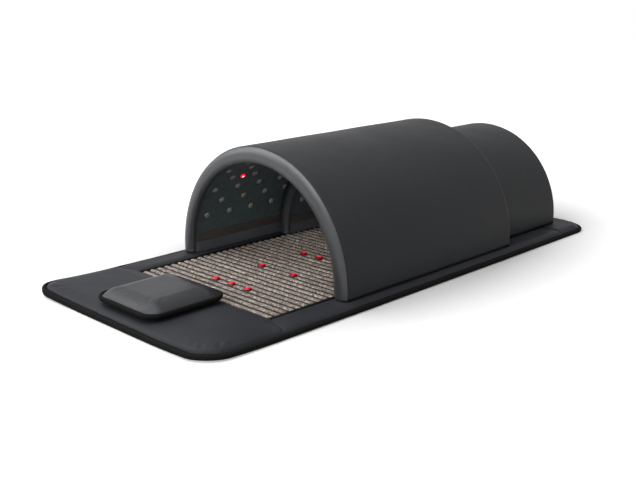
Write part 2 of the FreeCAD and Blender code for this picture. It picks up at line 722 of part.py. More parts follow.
def pillow_nodes():
    """Two sewn covers round a foam filling, bound at the seam."""
    seam, inner = PILLOW_TAPE, PILLOW_TAPE + PILLOW_COVER
    sides = {"top": (PILLOW_HIGH, PILLOW_CROWN), "base": (PILLOW_LOW, -PILLOW_BELLY)}
    outer = {side: pillow_half(start, rise, seam, 0) for side, (start, rise) in sides.items()}
    foam = {side: pillow_half(start, rise, inner, PILLOW_COVER) for side, (start, rise) in sides.items()}
    tape = Part.Face(pillow_outline(0, 0, PILLOW_LOW)).extrude(Vector(0, 0, PILLOW_EDGE))
    tape = tape.makeFillet(PILLOW_TAPE_ROUND, edges_at(tape, z=PILLOW_LOW) + edges_at(tape, z=PILLOW_HIGH))
    return {
        "pillow_top_cover": outer["top"].cut(foam["top"]),
        "pillow_base_cover": outer["base"].cut(foam["base"]),
        "pillow_filling": fused([foam["top"], foam["base"]]),
        "pillow_binding": tape.cut(Part.makeCompound([outer["top"], outer["base"]])),
    }


def main():
    os.makedirs("parts", exist_ok=True)
    large = Dome(DOME_RADIUS, LARGE_INSULATION, LARGE_FRONT, LARGE_LENGTH)
    small = Dome(SMALL_RADIUS, SMALL_INSULATION, SMALL_FRONT, SMALL_LENGTH)
    nodes = {**mat_nodes(), **dome_nodes("large", large), **dome_nodes("small", small), **pillow_nodes()}
    for name, shape in nodes.items():
        shape.exportStep(f"parts/{name}.step")
        print(f"{name}: {len(shape.Solids)} solids, {shape.Volume / 1000:.1f} cm3, valid {shape.isValid()}")


main()
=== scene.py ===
import math

import bmesh
import bpy
from mathutils import Matrix, Vector, kdtree, noise


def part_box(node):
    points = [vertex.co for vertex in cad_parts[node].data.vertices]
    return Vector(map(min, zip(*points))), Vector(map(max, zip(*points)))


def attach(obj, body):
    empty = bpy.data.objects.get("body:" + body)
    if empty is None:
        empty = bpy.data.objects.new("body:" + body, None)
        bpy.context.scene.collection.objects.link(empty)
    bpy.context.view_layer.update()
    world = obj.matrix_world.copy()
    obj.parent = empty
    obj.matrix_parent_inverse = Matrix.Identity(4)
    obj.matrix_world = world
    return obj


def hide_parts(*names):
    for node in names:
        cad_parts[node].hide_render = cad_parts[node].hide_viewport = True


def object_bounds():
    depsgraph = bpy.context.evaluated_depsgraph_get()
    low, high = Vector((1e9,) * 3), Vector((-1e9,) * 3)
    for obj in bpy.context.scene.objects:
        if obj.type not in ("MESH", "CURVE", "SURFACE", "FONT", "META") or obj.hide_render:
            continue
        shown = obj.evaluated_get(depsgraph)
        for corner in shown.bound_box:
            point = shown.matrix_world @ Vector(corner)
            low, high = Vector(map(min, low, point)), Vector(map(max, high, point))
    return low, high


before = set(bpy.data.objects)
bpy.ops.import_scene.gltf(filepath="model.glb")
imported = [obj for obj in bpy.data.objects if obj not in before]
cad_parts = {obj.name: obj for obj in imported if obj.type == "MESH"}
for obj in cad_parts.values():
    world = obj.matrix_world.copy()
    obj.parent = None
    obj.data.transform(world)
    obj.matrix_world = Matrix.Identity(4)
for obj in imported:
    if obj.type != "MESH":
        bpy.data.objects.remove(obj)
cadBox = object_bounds()
scene = bpy.context.scene
mm = 0.001
print("frame:", len(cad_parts), "nodes")


# shader sockets that add and multiply like numbers
class Signal:
    def __init__(self, sheet, socket):
        self.sheet, self.socket = sheet, socket

    def maths(self, operation, first, second):
        return self.sheet.node("ShaderNodeMath", {"operation": operation}, {0: first, 1: second})

    def __add__(self, other):
        return self.maths("ADD", self, other)

    def __radd__(self, other):
        return self.maths("ADD", other, self)

    def __sub__(self, other):
        return self.maths("SUBTRACT", self, other)

    def __rsub__(self, other):
        return self.maths("SUBTRACT", other, self)

    def __mul__(self, other):
        return self.maths("MULTIPLY", self, other)

    def __rmul__(self, other):
        return self.maths("MULTIPLY", other, self)


class NodeSheet:
    def __init__(self, tree):
        self.tree = tree
        self.tree.nodes.clear()

    def node(self, kind, settings=None, sockets=None, out=0):
        made = self.tree.nodes.new(kind)
        for name, value in (settings or {}).items():
            if name == "stops":
                self.setStops(made.color_ramp, value)
            else:
                setattr(made, name, value)
        for name, value in (sockets or {}).items():
            self.feed(made.inputs[name], value)
        return Signal(self, made.outputs[out]) if len(made.outputs) else made

    def feed(self, socket, value):
        if isinstance(value, Signal):
            self.tree.links.new(value.socket, socket)
        elif socket.type == "RGBA":
            socket.default_value = (*value, 1)
        else:
            socket.default_value = value

    def setStops(self, ramp, stops):
        while len(ramp.elements) < len(stops):
            ramp.elements.new(1)
        for element, (place, colour) in zip(ramp.elements, stops):
            element.position, element.color = place, (*colour, 1)

    def stretch(self, value, low, high, first=0.0, last=1.0):
        return self.node("ShaderNodeMapRange", None, {0: value, 1: low, 2: high, 3: first, 4: last})

    def mix(self, share, first, second):
        return self.node("ShaderNodeMix", {"data_type": "RGBA"}, {0: share, 6: first, 7: second}, 2)

    def ramp(self, value, stops):
        return self.node("ShaderNodeValToRGB", {"stops": stops}, {0: value})

    def split(self, vector, axis):
        return self.node("ShaderNodeSeparateXYZ", None, {0: vector}, axis)

    def wave(self, value, length):
        turns = value * (2 * math.pi / length)
        return self.node("ShaderNodeMath", {"operation": "SINE"}, {0: turns}) * 0.5 + 0.5


class Finish(NodeSheet):
    def __init__(self, name, **fixed):
        self.material = bpy.data.materials.new(name)
        self.material.use_nodes = True
        super().__init__(self.material.node_tree)
        self.place = self.node("ShaderNodeTexCoord", out="Object")
        self.shader = self.tree.nodes.new("ShaderNodeBsdfPrincipled")
        self.node("ShaderNodeOutputMaterial", None, {"Surface": Signal(self, self.shader.outputs[0])})
        for name, value in fixed.items():
            self.wear(name, value)

    def wear(self, socket, value):  # a socket of the shader, named without spaces
        names = {name.replace(" ", "").lower(): name for name in self.shader.inputs.keys()}
        self.feed(self.shader.inputs[names[socket.lower()]], value)

    def grain(self, size, detail=2.0, place=None):
        sockets = {"Vector": place or self.place, "Scale": 1 / size, "Detail": detail}
        return self.node("ShaderNodeTexNoise", None, sockets)

    def cells(self, size, out="Distance", feature="F1"):
        sockets = {"Vector": self.place, "Scale": 1 / size}
        return self.node("ShaderNodeTexVoronoi", {"feature": feature}, sockets, out)

    def relief(self, height, depth, under=None):  # height runs from 0 to 1 over a depth in metres
        sockets = {"Height": height, "Distance": depth, "Strength": 1.0}
        if under:
            sockets["Normal"] = under
        return self.node("ShaderNodeBump", None, sockets)

    def attribute(self, name):
        return self.node("ShaderNodeAttribute", {"attribute_name": name}, None, "Fac")


# finishes
def leather(name, look):
    finish = Finish(name, SpecularIORLevel=look["shine"])
    pebble = finish.cells(look["pebble"], feature="SMOOTH_F1")
    crease = finish.stretch(finish.cells(look["crease"], feature="DISTANCE_TO_EDGE"), 0.0, 0.12)
    swell = finish.grain(look["swell"], 3.0)
    patch = finish.stretch(finish.grain(look["patch"], 3.0), 0.32, 0.68)
    tone = finish.mix(patch, look["deep"], look["pale"])
    dark = finish.stretch(pebble, 0.25, 0.85, 0.0, 0.35)
    finish.wear("BaseColor", finish.mix(dark, tone, look["deep"]))
    finish.wear("Roughness", look["rough"] + (patch - 0.5) * 0.10 + (pebble - 0.4) * 0.12)
    folds = finish.relief(swell, look["swellDepth"])
    creases = finish.relief(crease, look["creaseDepth"], folds)
    finish.wear("Normal", finish.relief(1 - pebble, look["pebbleDepth"], creases))
    return finish.material


def ribbedTape(name, look):
    finish = Finish(name, SpecularIORLevel=0.04)
    woven = finish.node("ShaderNodeUVMap", {"uv_map": "tape"})
    along, across = finish.split(woven, 0), finish.split(woven, 1)
    rib = finish.wave(along, look["rib"])
    thread = finish.wave(across, look["thread"])
    fuzz = finish.grain(look["fuzz"], 3.0)
    finish.wear("BaseColor", finish.mix(rib * 0.6 + fuzz * 0.4, look["deep"], look["pale"]))
    finish.wear("Roughness", 0.78 + (fuzz - 0.5) * 0.2)
    finish.wear("Normal", finish.relief(rib * 0.7 + thread * 0.3, look["depth"]))
    return finish.material


def wovenCloth(name, look):
    finish = Finish(name, SpecularIORLevel=look["shine"], SheenWeight=look["sheen"], SheenRoughness=0.45)
    threads = [finish.wave(finish.split(finish.place, axis), look["thread"]) for axis in range(3)]
    weave = (threads[0] + threads[1] + threads[2]) * (1 / 3)
    patch = finish.stretch(finish.grain(look["patch"], 4.0), 0.3, 0.7)
    fuzz = finish.grain(look["thread"] * 2, 2.0)
    tone = finish.mix(patch, look["deep"], look["pale"])
    finish.wear("BaseColor", finish.mix(weave * 0.5 + fuzz * 0.3, look["deep"], tone))
    finish.wear("Roughness", look["rough"] + (fuzz - 0.5) * 0.15)
    finish.wear("Normal", finish.relief(weave, look["depth"], finish.relief(patch, look["patchDepth"])))
    return finish.material


def crushedStone(name, look):
    finish = Finish(name, SpecularIORLevel=0.4)
    chipShade = finish.split(finish.cells(look["chip"], "Color"), 0)
    chipEdge = finish.stretch(finish.cells(look["chip"], feature="DISTANCE_TO_EDGE"), 0.0, 0.16)
    dust = finish.grain(look["dust"], 4.0)
    speckle = finish.split(finish.cells(look["speck"], "Color"), 1)
    colour = finish.ramp(chipShade * 0.6 + speckle * 0.4, look["stops"])
    tinted = finish.mix(finish.stretch(dust, 0.35, 0.65, 0.0, 0.35), colour, look["warm"])
    finish.wear("BaseColor", finish.mix(chipEdge, look["gap"], tinted))
    finish.wear("Roughness", 0.55 + (speckle - 0.5) * 0.3)
    finish.wear("Normal", finish.relief(chipEdge * 0.8 + speckle * 0.2, look["depth"]))
    return finish.material


def polishedStone(name, look):
    finish = Finish(name, CoatWeight=0.35, CoatRoughness=0.12, SubsurfaceWeight=0.2, SubsurfaceScale=4 * mm)
    cloud = finish.stretch(finish.grain(look["cloud"], 4.0), 0.3, 0.7)
    vein = finish.stretch(finish.cells(look["vein"], feature="DISTANCE_TO_EDGE"), 0.0, 0.08)
    colour = finish.mix(cloud, look["deep"], look["pale"])
    finish.wear("BaseColor", finish.mix(vein, look["deep"], colour))
    finish.wear("Roughness", 0.2 + cloud * 0.15)
    finish.wear("Normal", finish.relief(cloud, 0.15 * mm))
    return finish.material


# red lenses: on the lit dome lamps the glow is the lamps' own light; on the mat lenses and the lamp collars,
# which are not lit, it is a painted glow
def redLens(name, look):
    finish = Finish(name, CoatWeight=0.3, CoatRoughness=0.06, SpecularIORLevel=0.3,
                    EmissionStrength=look["glow"])
    core = finish.attribute("core")
    streak = finish.cells(look["facet"], "Distance")
    # core is 1 at a lens's middle and 0 at its rim: the colour ramp paints a highlight in the middle and
    # shade at the rim
    bright = finish.stretch(core + (streak - 0.5) * 0.25, 0.05, 0.95)
    finish.wear("BaseColor", finish.ramp(bright, look["stops"]))
    finish.wear("EmissionColor", finish.ramp(bright, look["lit"]))
    finish.wear("Roughness", 0.1 + streak * 0.12)
    finish.wear("Normal", finish.relief(streak, 0.3 * mm))
    return finish.material


def mouldedPlastic(name, look):
    finish = Finish(name, SpecularIORLevel=0.5)
    grit = finish.grain(look["grit"], 3.0)
    scuff = finish.stretch(finish.grain(look["scuff"], 5.0), 0.45, 0.75)
    finish.wear("BaseColor", finish.mix(scuff, look["deep"], look["pale"]))
    finish.wear("Roughness", look["rough"] + (grit - 0.5) * 0.2 + scuff * 0.1)
    finish.wear("Normal", finish.relief(grit, look["depth"]))
    return finish.material


def layeredSheet(name, look):  # wood, foam, film, cable and steel of the inner layers
    finish = Finish(name, SpecularIORLevel=0.4, Metallic=look.get("metal", 0.0))
    stretched = finish.node("ShaderNodeMapping", None, {"Vector": finish.place, "Scale": look["run"]})
    figure = finish.grain(look["size"], 5.0, stretched)
    share = finish.stretch(figure, 0.3, 0.7)
    finish.wear("BaseColor", finish.mix(share, look["deep"], look["pale"]))
    finish.wear("Roughness", look["rough"] + (figure - 0.5) * 0.25)
    finish.wear("Normal", finish.relief(figure, look["depth"]))
    return finish.material


leatherGrain = {
    "pebble": 1.1 * mm, "pebbleDepth": 0.10 * mm, "crease": 4.5 * mm, "creaseDepth": 0.05 * mm,
    "swell": 70 * mm, "swellDepth": 1.2 * mm, "patch": 160 * mm,
}


def leatherLook(deep, pale, rough, shine):
    return {**leatherGrain, "deep": deep, "pale": pale, "rough": rough, "shine": shine}


domeLook = leatherLook((0.0158, 0.0165, 0.0181), (0.0227, 0.0236, 0.0256), 0.56, 0.18)
# rim leather: the same leatherette as the dome cover, drawn paler: painted light on the rim face
rimLook = leatherLook((0.020, 0.021, 0.025), (0.0255, 0.0268, 0.0315), 0.40, 0.6)
matLook = leatherLook((0.0215, 0.0225, 0.0265), (0.030, 0.0312, 0.036), 0.52, 0.08)
skirtLook = leatherLook((0.050, 0.053, 0.059), (0.067, 0.070, 0.077), 0.5, 0.3)
# pillow leather: the mat's leatherette drawn darker: painted shade on the pillow
pillowLeather = leatherLook((0.0145, 0.0152, 0.0174), (0.0195, 0.0203, 0.0230), 0.43, 0.26)
tapeLook = {
    "rib": 1.8 * mm, "thread": 0.9 * mm, "fuzz": 1.2 * mm, "depth": 0.25 * mm,
    "deep": (0.004, 0.004, 0.004), "pale": (0.014, 0.014, 0.013),
}
linerLook = {
    "thread": 1.6 * mm, "patch": 24 * mm, "depth": 0.12 * mm, "patchDepth": 0.3 * mm,
    "rough": 0.82, "shine": 0.3, "sheen": 0.05, "deep": (0.037, 0.049, 0.052), "pale": (0.067, 0.087, 0.090),
}
bandLook = {**linerLook, "patch": 60 * mm, "deep": (0.035, 0.030, 0.027), "pale": (0.058, 0.051, 0.045)}
plainCloth = {**linerLook, "patch": 60 * mm, "sheen": 0.0}
trimLook = {**plainCloth, "deep": (0.004, 0.004, 0.004), "pale": (0.010, 0.010, 0.010), "shine": 0.1}
backingLook = {**plainCloth, "deep": (0.020, 0.016, 0.013), "pale": (0.045, 0.036, 0.030)}
chipLook = {
    "chip": 5.0 * mm, "speck": 2.4 * mm, "dust": 30 * mm, "depth": 1.2 * mm,
    "warm": (0.40, 0.31, 0.255), "gap": (0.05, 0.041, 0.035),
    "stops": [(0.22, (0.075, 0.060, 0.050)), (0.42, (0.27, 0.220, 0.190)), (0.58, (0.50, 0.430, 0.380)),
              (0.75, (0.80, 0.72, 0.66))],
}
jadeLook = {"cloud": 7 * mm, "vein": 12 * mm, "deep": (0.14, 0.13, 0.105), "pale": (0.32, 0.30, 0.26)}
# the mat lamps are off: their glow and "lit" stops are a painted glow, and the stops' dark rim and pale
# middle are painted shade and a painted highlight
matLensLook = {
    "facet": 4.0 * mm, "glow": 0.45,
    "stops": [(0.0, (0.07, 0.0, 0.003)), (0.45, (0.30, 0.001, 0.010)), (1.0, (0.55, 0.012, 0.03))],
    "lit": [(0.0, (0.05, 0.0, 0.001)), (0.5, (0.36, 0.0, 0.008)), (0.85, (0.85, 0.01, 0.03)),
            (1.0, (1.0, 0.28, 0.25))],
}
litLensLook = {
    "facet": 3.5 * mm, "glow": 3.0,
    "stops": [(0.0, (0.35, 0.002, 0.008)), (0.5, (0.6, 0.01, 0.03)), (1.0, (0.9, 0.2, 0.2))],
    "lit": [(0.0, (0.30, 0.0, 0.006)), (0.5, (0.7, 0.003, 0.02)), (0.8, (0.95, 0.05, 0.06)),
            (1.0, (1.0, 0.7, 0.65))],
}
plasticLook = {
    "grit": 0.8 * mm, "scuff": 40 * mm, "depth": 0.08 * mm, "rough": 0.42,
    "deep": (0.010, 0.010, 0.011), "pale": (0.026, 0.026, 0.028),
}
threadLook = {**plasticLook, "deep": (0.020, 0.020, 0.021), "pale": (0.050, 0.050, 0.052), "rough": 0.7}
innerLooks = {
    "bent_ply": {"run": (0.15, 1, 1), "size": 6 * mm, "rough": 0.6, "depth": 0.2 * mm,
                 "deep": (0.30, 0.19, 0.10), "pale": (0.52, 0.37, 0.22)},
    "rail_wood": {"run": (0.1, 1, 1), "size": 8 * mm, "rough": 0.6, "depth": 0.2 * mm,
                  "deep": (0.34, 0.21, 0.11), "pale": (0.55, 0.39, 0.23)},
    "foam": {"run": (1, 1, 1), "size": 3 * mm, "rough": 0.9, "depth": 0.5 * mm,
             "deep": (0.38, 0.37, 0.34), "pale": (0.55, 0.54, 0.50)},
    "heating_film": {"run": (0.1, 1, 1), "size": 9 * mm, "rough": 0.35, "depth": 0.05 * mm,
                     "deep": (0.015, 0.015, 0.016), "pale": (0.07, 0.05, 0.04)},
    "flat_cable": {"run": (1, 1, 1), "size": 4 * mm, "rough": 0.5, "depth": 0.1 * mm,
                   "deep": (0.10, 0.10, 0.11), "pale": (0.18, 0.18, 0.19)},
    "sensor_body": {"run": (1, 1, 1), "size": 4 * mm, "rough": 0.4, "depth": 0.1 * mm,
                    "deep": (0.35, 0.33, 0.29), "pale": (0.5, 0.48, 0.44)},
    "screw_steel": {"run": (1, 1, 0.2), "size": 2 * mm, "rough": 0.32, "depth": 0.02 * mm, "metal": 1.0,
                    "deep": (0.42, 0.42, 0.43), "pale": (0.62, 0.62, 0.63)},
}
finishes = {
    "dome_leather": leather("dome leather", domeLook),
    "rim_leather": leather("rim leather", rimLook),
    "mat_leather": leather("mat leather", matLook),
    "skirt_leather": leather("skirt leather", skirtLook),
    "pillow_leather": leather("pillow leather", pillowLeather),
    "binding_tape": ribbedTape("binding tape", tapeLook),
    "liner_fabric": wovenCloth("liner fabric", linerLook),
    "band_fabric": wovenCloth("band fabric", bandLook),
    "trim_fabric": wovenCloth("trim fabric", trimLook),
    "quilt_fabric": wovenCloth("quilt fabric", backingLook),
    "stone_channels": crushedStone("crushed stone", chipLook),
    "jade": polishedStone("liner stone", jadeLook),
    "red_lens": redLens("red lens", matLensLook),
    "lit_lens": redLens("lit red lens", litLensLook),
    "black_plastic": mouldedPlastic("black plastic", plasticLook),
    "thread": mouldedPlastic("sewing thread", threadLook),
    **{slot: layeredSheet(slot, look) for slot, look in innerLooks.items()},
}
print("finishes:", len(finishes))


# making and placing pieces
def meshObject(name, bm):
    mesh = bpy.data.meshes.new(name)
    bm.to_mesh(mesh)
    bm.free()
    made = bpy.data.objects.new(name, mesh)
    scene.collection.objects.link(made)
    return made


def shade(piece, smooth):
    piece.data.polygons.foreach_set("use_smooth", [smooth] * len(piece.data.polygons))


def newPiece(name, bm, body, finish, stands=()):
    bmesh.ops.recalc_face_normals(bm, faces=bm.faces[:])
    piece = meshObject(name, bm)
    shade(piece, True)
    piece.data.materials.append(finishes[finish])
    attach(piece, body)
    if stands:
        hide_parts(*stands)
    return piece


def smoothed(piece, levels=1):
    subdivision = piece.modifiers.new("smooth", "SUBSURF")
    subdivision.levels = subdivision.render_levels = levels
    return piece


def arcPoints(centre, radius, first, last, steps):
    angles = [math.radians(first + (last - first) * step / steps) for step in range(steps + 1)]
    return [(centre[0] + radius * math.cos(angle), centre[1] + radius * math.sin(angle))
            for angle in angles]


def runPoints(start, end, steps):  # points between two ends, without them
    return [tuple(a + (b - a) * step / steps for a, b in zip(start, end)) for step in range(1, steps)]


def vertsOf(geometry):
    return [item for item in geometry if isinstance(item, bmesh.types.BMVert)]


def whole(bm):
    return bm.verts[:] + bm.edges[:] + bm.faces[:]


def treeOf(points):
    tree = kdtree.KDTree(len(points))
    for index, point in enumerate(points):
        tree.insert(point, index)
    tree.balance()
    return tree


def startRing(bm, points):
    ring = [bm.verts.new(point) for point in points]
    for pair in zip(ring, ring[1:] + ring[:1]):
        bm.edges.new(pair)
    return ring


def extrudeRing(bm, ring):
    edges = [bm.edges.get(pair) for pair in zip(ring, ring[1:] + ring[:1])]
    fresh = set(vertsOf(bmesh.ops.extrude_edge_only(bm, edges=edges)["geom"]))
    return [next(edge.other_vert(vert) for edge in vert.link_edges if edge.other_vert(vert) in fresh)
            for vert in ring]


def sweepAlong(bm, section, low, high, steps):  # a closed section of (y, z), swept along the tunnel
    ring = startRing(bm, [(low.x, y, z) for y, z in section])
    bm.faces.new(ring)
    for step in range(1, steps + 1):
        ring = extrudeRing(bm, ring)
        for vert in ring:
            vert.co.x = low.x + (high.x - low.x) * step / steps
    bm.faces.new(ring)


def rumple(bm, look, where=None):
    bm.normal_update()
    shift = Vector((1, 0.7, 1.3)) * look["seed"]
    for vert in bm.verts:
        share = where(vert.co) if where else 1.0
        if share:
            wave = noise.noise(vert.co / look["rumpleSize"] + shift)
            vert.co += vert.normal * look["rumple"] * share * wave


def innerSide(node):  # how near a piece with two sides comes to the middle
    return min(abs(vert.co.y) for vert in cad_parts[node].data.vertices)


def islandCentres(node):
    bm = bmesh.new()
    bm.from_mesh(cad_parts[node].data)
    bmesh.ops.remove_doubles(bm, verts=bm.verts[:], dist=0.01 * mm)
    left, centres = set(bm.verts), []
    while left:
        island = [left.pop()]
        for vert in island:
            for edge in vert.link_edges:
                other = edge.other_vert(vert)
                if other in left:
                    left.discard(other)
                    island.append(other)
        centres.append(sum((vert.co for vert in island), Vector()) / len(island))
    bm.free()
    return sorted(centres, key=lambda centre: tuple(round(value, 4) for value in centre))


def standing(place, up, along):  # matrix that stands a template on a surface
    up = up.normalized()
    side = up.cross(along).normalized()
    turn = Matrix((side.cross(up), side, up)).transposed()
    return Matrix.Translation(place) @ turn.to_4x4()


def scatter(bm, places):
    template = whole(bm)
    for place in places:
        copied = bmesh.ops.duplicate(bm, geom=template)["geom"]
        bmesh.ops.transform(bm, matrix=place, verts=vertsOf(copied))
    bmesh.ops.delete(bm, geom=vertsOf(template), context="VERTS")
    return bm


def turnedTemplate(profile, steps, coreRadius=None):
    bm = bmesh.new()
    core = bm.verts.layers.float.new("core")
    line = [bm.verts.new((radius, 0, height)) for radius, height in profile]
    edges = [bm.edges.new(pair) for pair in zip(line, line[1:])]
    bmesh.ops.spin(bm, geom=line + edges, cent=(0, 0, 0), axis=(0, 0, 1), dvec=(0, 0, 0),
                   angle=2 * math.pi, steps=steps, use_merge=True)
    bmesh.ops.remove_doubles(bm, verts=bm.verts[:], dist=0.005 * mm)
    bmesh.ops.holes_fill(bm, edges=[edge for edge in bm.edges if edge.is_boundary])
    if coreRadius:
        for vert in bm.verts:
            vert[core] = max(0.0, 1 - vert.co.xy.length_squared / coreRadius**2)
    return bm


stitchLook = {"pitch": 6.5 * mm, "length": 4.2 * mm, "width": 0.9 * mm, "height": 0.7 * mm,
              "proud": 0.15 * mm, "fromRoll": 2 * mm}


def stitches(name, body, places):  # places: point, outward direction, direction of the seam
    bm = bmesh.new()
    bmesh.ops.create_uvsphere(bm, u_segments=6, v_segments=4, radius=0.5)
    size = (stitchLook["length"], stitchLook["width"], stitchLook["height"])
    bmesh.ops.rotate(bm, cent=(0, 0, 0), matrix=Matrix.Rotation(math.pi / 2, 3, "Y"), verts=bm.verts[:])
    bmesh.ops.scale(bm, vec=size, verts=bm.verts[:])
    scatter(bm, [standing(*place) for place in places])
    return newPiece(name, bm, body, "thread")


# domes: sections drawn as (along the tunnel, distance from the arch's axis, tuck at the foot)
def domeSizes(name):
    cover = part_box(name + "_cover")
    frontRim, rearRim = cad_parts[name + "_front_rim"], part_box(name + "_rear_rim")
    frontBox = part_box(name + "_front_rim")
    radius = cover[1].y
    return {
        "name": name, "body": name + "_dome", "radius": radius, "spring": cover[1].z - radius,
        "shell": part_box(name + "_shell")[1].y, "liner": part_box(name + "_liner")[1].y,
        "inside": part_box(name + "_inner_skirts")[1].y,
        "rim": min(abs(vert.co.y) for vert in frontRim.data.vertices if vert.co.z < cover[0].z),
        "front": frontBox[0].x, "rear": rearRim[1].x, "start": cover[0].x, "end": cover[1].x,
        "lip": frontBox[1].x - frontBox[0].x, "foot": frontBox[0].z, "coverFoot": cover[0].z,
    }


def sweepArch(section, foot, spring, footSteps, legSteps, archSteps):
    bm = bmesh.new()
    ahead = section[1:] + section[:1]
    turn = math.copysign(1, sum(a[1] * b[0] - a[0] * b[1] for a, b in zip(section, ahead)))
    inward = []
    for before, after in zip(section[-1:] + section[:-1], ahead):
        along = Vector((after[0] - before[0], after[1] - before[1])).normalized()
        inward.append(Vector((along.y, -along.x)) * turn)  # whichever way round the section runs
    deepest = max(point[2] for point in section)
    ring = None
    for step in range(footSteps + 1):
        angle = math.pi / 2 * step / footSteps
        ring = extrudeRing(bm, ring) if ring else startRing(bm, [(x, -r, foot) for x, r, tuck in section])
        if not step:
            bm.faces.new(ring)
        for vert, (x, r, tuck), way in zip(ring, section, inward):
            drawn = way * tuck * (1 - math.sin(angle))
            vert.co = (x + drawn.x, -r - drawn.y, foot + deepest * (1 - math.cos(angle)))
    legFoot = foot + deepest
    for step in range(1, legSteps + 1):
        ring = extrudeRing(bm, ring)
        for vert in ring:
            vert.co.z = legFoot + (spring - legFoot) * step / legSteps
    edges = [bm.edges.get(pair) for pair in zip(ring, ring[1:] + ring[:1])]
    bmesh.ops.spin(bm, geom=ring + edges, cent=(0, 0, spring), axis=(-1, 0, 0), dvec=(0, 0, 0),
                   angle=math.pi / 2, steps=archSteps)
    bmesh.ops.mirror(bm, geom=whole(bm), matrix=Matrix(), merge_dist=0.01 * mm, axis="Y")
    bmesh.ops.remove_doubles(bm, verts=bm.verts[:], dist=0.005 * mm)
    bmesh.ops.recalc_face_normals(bm, faces=bm.faces[:])
    return bm


coverLook = {"seamGap": 0.4 * mm, "roll": 3.5 * mm, "footTuck": 4 * mm, "swell": 1.0 * mm,
             "lengthSteps": 36, "underSteps": 8, "sweep": (3, 2, 26),
             "rumple": 1.6 * mm, "rumpleSize": 210 * mm, "seed": 3.1, "rumpleEdge": 14 * mm}


def domeCover(size):
    roll, tuck = coverLook["roll"], coverLook["footTuck"]
    x0, x1 = size["start"] + coverLook["seamGap"], size["end"] - coverLook["seamGap"]
    outer, inner = size["radius"], size["shell"]
    steps = coverLook["lengthSteps"]
    top = runPoints((x0 + roll, outer), (x1 - roll, outer), steps)
    swell = [coverLook["swell"] * math.sin(math.pi * step / steps) for step in range(1, steps)]
    section = [(x, r, tuck) for x, r in arcPoints((x0 + roll, outer - roll), roll, 180, 90, 4)]
    section += [(x, r + lift, tuck) for (x, r), lift in zip(top, swell)]
    section += [(x, r, tuck) for x, r in arcPoints((x1 - roll, outer - roll), roll, 90, 0, 4)]
    under = [(x1, inner)] + runPoints((x1, inner), (x0, inner), coverLook["underSteps"]) + [(x0, inner)]
    section += [(x, r, 0) for x, r in under]
    bm = sweepArch(section, size["coverFoot"], size["spring"], *coverLook["sweep"])
    edge = coverLook["rumpleEdge"]
    rumple(bm, coverLook, lambda co: min(1, (co.x - x0) / edge, (x1 - co.x) / edge))
    stands = (size["name"] + "_cover", size["name"] + "_padding")
    piece = newPiece(size["name"] + "_dome_cover", bm, size["body"], "dome_leather", stands)
    return smoothed(piece)


rimBuild = {"seamGap": 0.4 * mm, "seamDip": 1.2 * mm, "drop": 9.0 * mm, "fullness": 2.2, "hem": 2.5 * mm,
            "footTuck": 6 * mm, "seamDepth": 4 * mm, "seamBack": 0.6 * mm, "faceSteps": 18, "lipSteps": 4,
            "sweep": (4, 9, 30), "rumple": 0.8 * mm, "rumpleSize": 120 * mm, "seed": 7.3,
            "crease": 1.6 * mm, "creaseHeight": 36 * mm, "creaseLength": 12 * mm, "creaseStart": 0.45}


def domeRim(size, end):
    outer, inner = size["radius"], size["rim"]
    front, seam = size["front"], size["start"] - rimBuild["seamGap"]
    lipEnd, tuck, hem = size["front"] + size["lip"], rimBuild["footTuck"], rimBuild["hem"]
    top = outer - rimBuild["seamDip"]
    section = [(seam, outer - rimBuild["seamDepth"], hem)]
    for step in range(rimBuild["faceSteps"] + 1):
        across = step / rimBuild["faceSteps"]
        drop = seam - front - rimBuild["seamBack"] if across < 0.5 else rimBuild["drop"]
        back = drop * abs(2 * across - 1) ** rimBuild["fullness"]
        section.append((front + back, top + (inner - top) * across, tuck))
    lip = runPoints((front + rimBuild["drop"], inner), (lipEnd - hem, inner), rimBuild["lipSteps"])
    lip += arcPoints((lipEnd - hem, inner + hem), hem, 270, 360, 3)
    section += [(x, r, hem) for x, r in lip]
    section += [(lipEnd, size["inside"], 0), (seam, size["inside"], 0)]
    if end == "rear":
        section = [(size["front"] + size["rear"] - x, r, drawn) for x, r, drawn in reversed(section)]
    bm = sweepArch(section, size["foot"], size["spring"], *rimBuild["sweep"])
    rumple(bm, rimBuild)

    def creased(co):  # leather gathers at the inner foot of each leg
        rise = (co.z - size["foot"]) / rimBuild["creaseHeight"]
        depth = (outer - abs(co.y)) / (outer - inner)
        wave = math.sin(co.z / rimBuild["creaseLength"] * 2 * math.pi)
        return max(0.0, 1 - rise) * max(0.0, depth - rimBuild["creaseStart"]) * wave

    bm.normal_update()
    for vert in bm.verts:
        vert.co += vert.normal * rimBuild["crease"] * creased(vert.co)
    name = size["name"] + "_" + end + "_rim"
    piece = newPiece(name + "_roll", bm, size["body"], "rim_leather", (name,))
    return smoothed(piece)


def seamStitches(size):
    places = []
    radius, spring = size["radius"] + stitchLook["proud"], size["spring"]
    count = int(math.pi * radius / stitchLook["pitch"])
    inset = coverLook["roll"] + stitchLook["fromRoll"]
    for x in (size["start"] + inset, size["end"] - inset):
        for step in range(count + 1):
            angle = math.pi * step / count
            up = Vector((0, math.cos(angle), math.sin(angle)))
            places.append((Vector((x, 0, spring)) + up * radius, up, Vector((0, -up.z, up.y))))
    return stitches(size["name"] + "_seam_stitches", size["body"], places)


linerBuild = {"lengthSteps": 56, "backSteps": 10, "sweep": (1, 3, 42), "puff": 1.3 * mm, "dimple": 19 * mm,
              "edge": 40 * mm, "touch": 0.5 * mm}


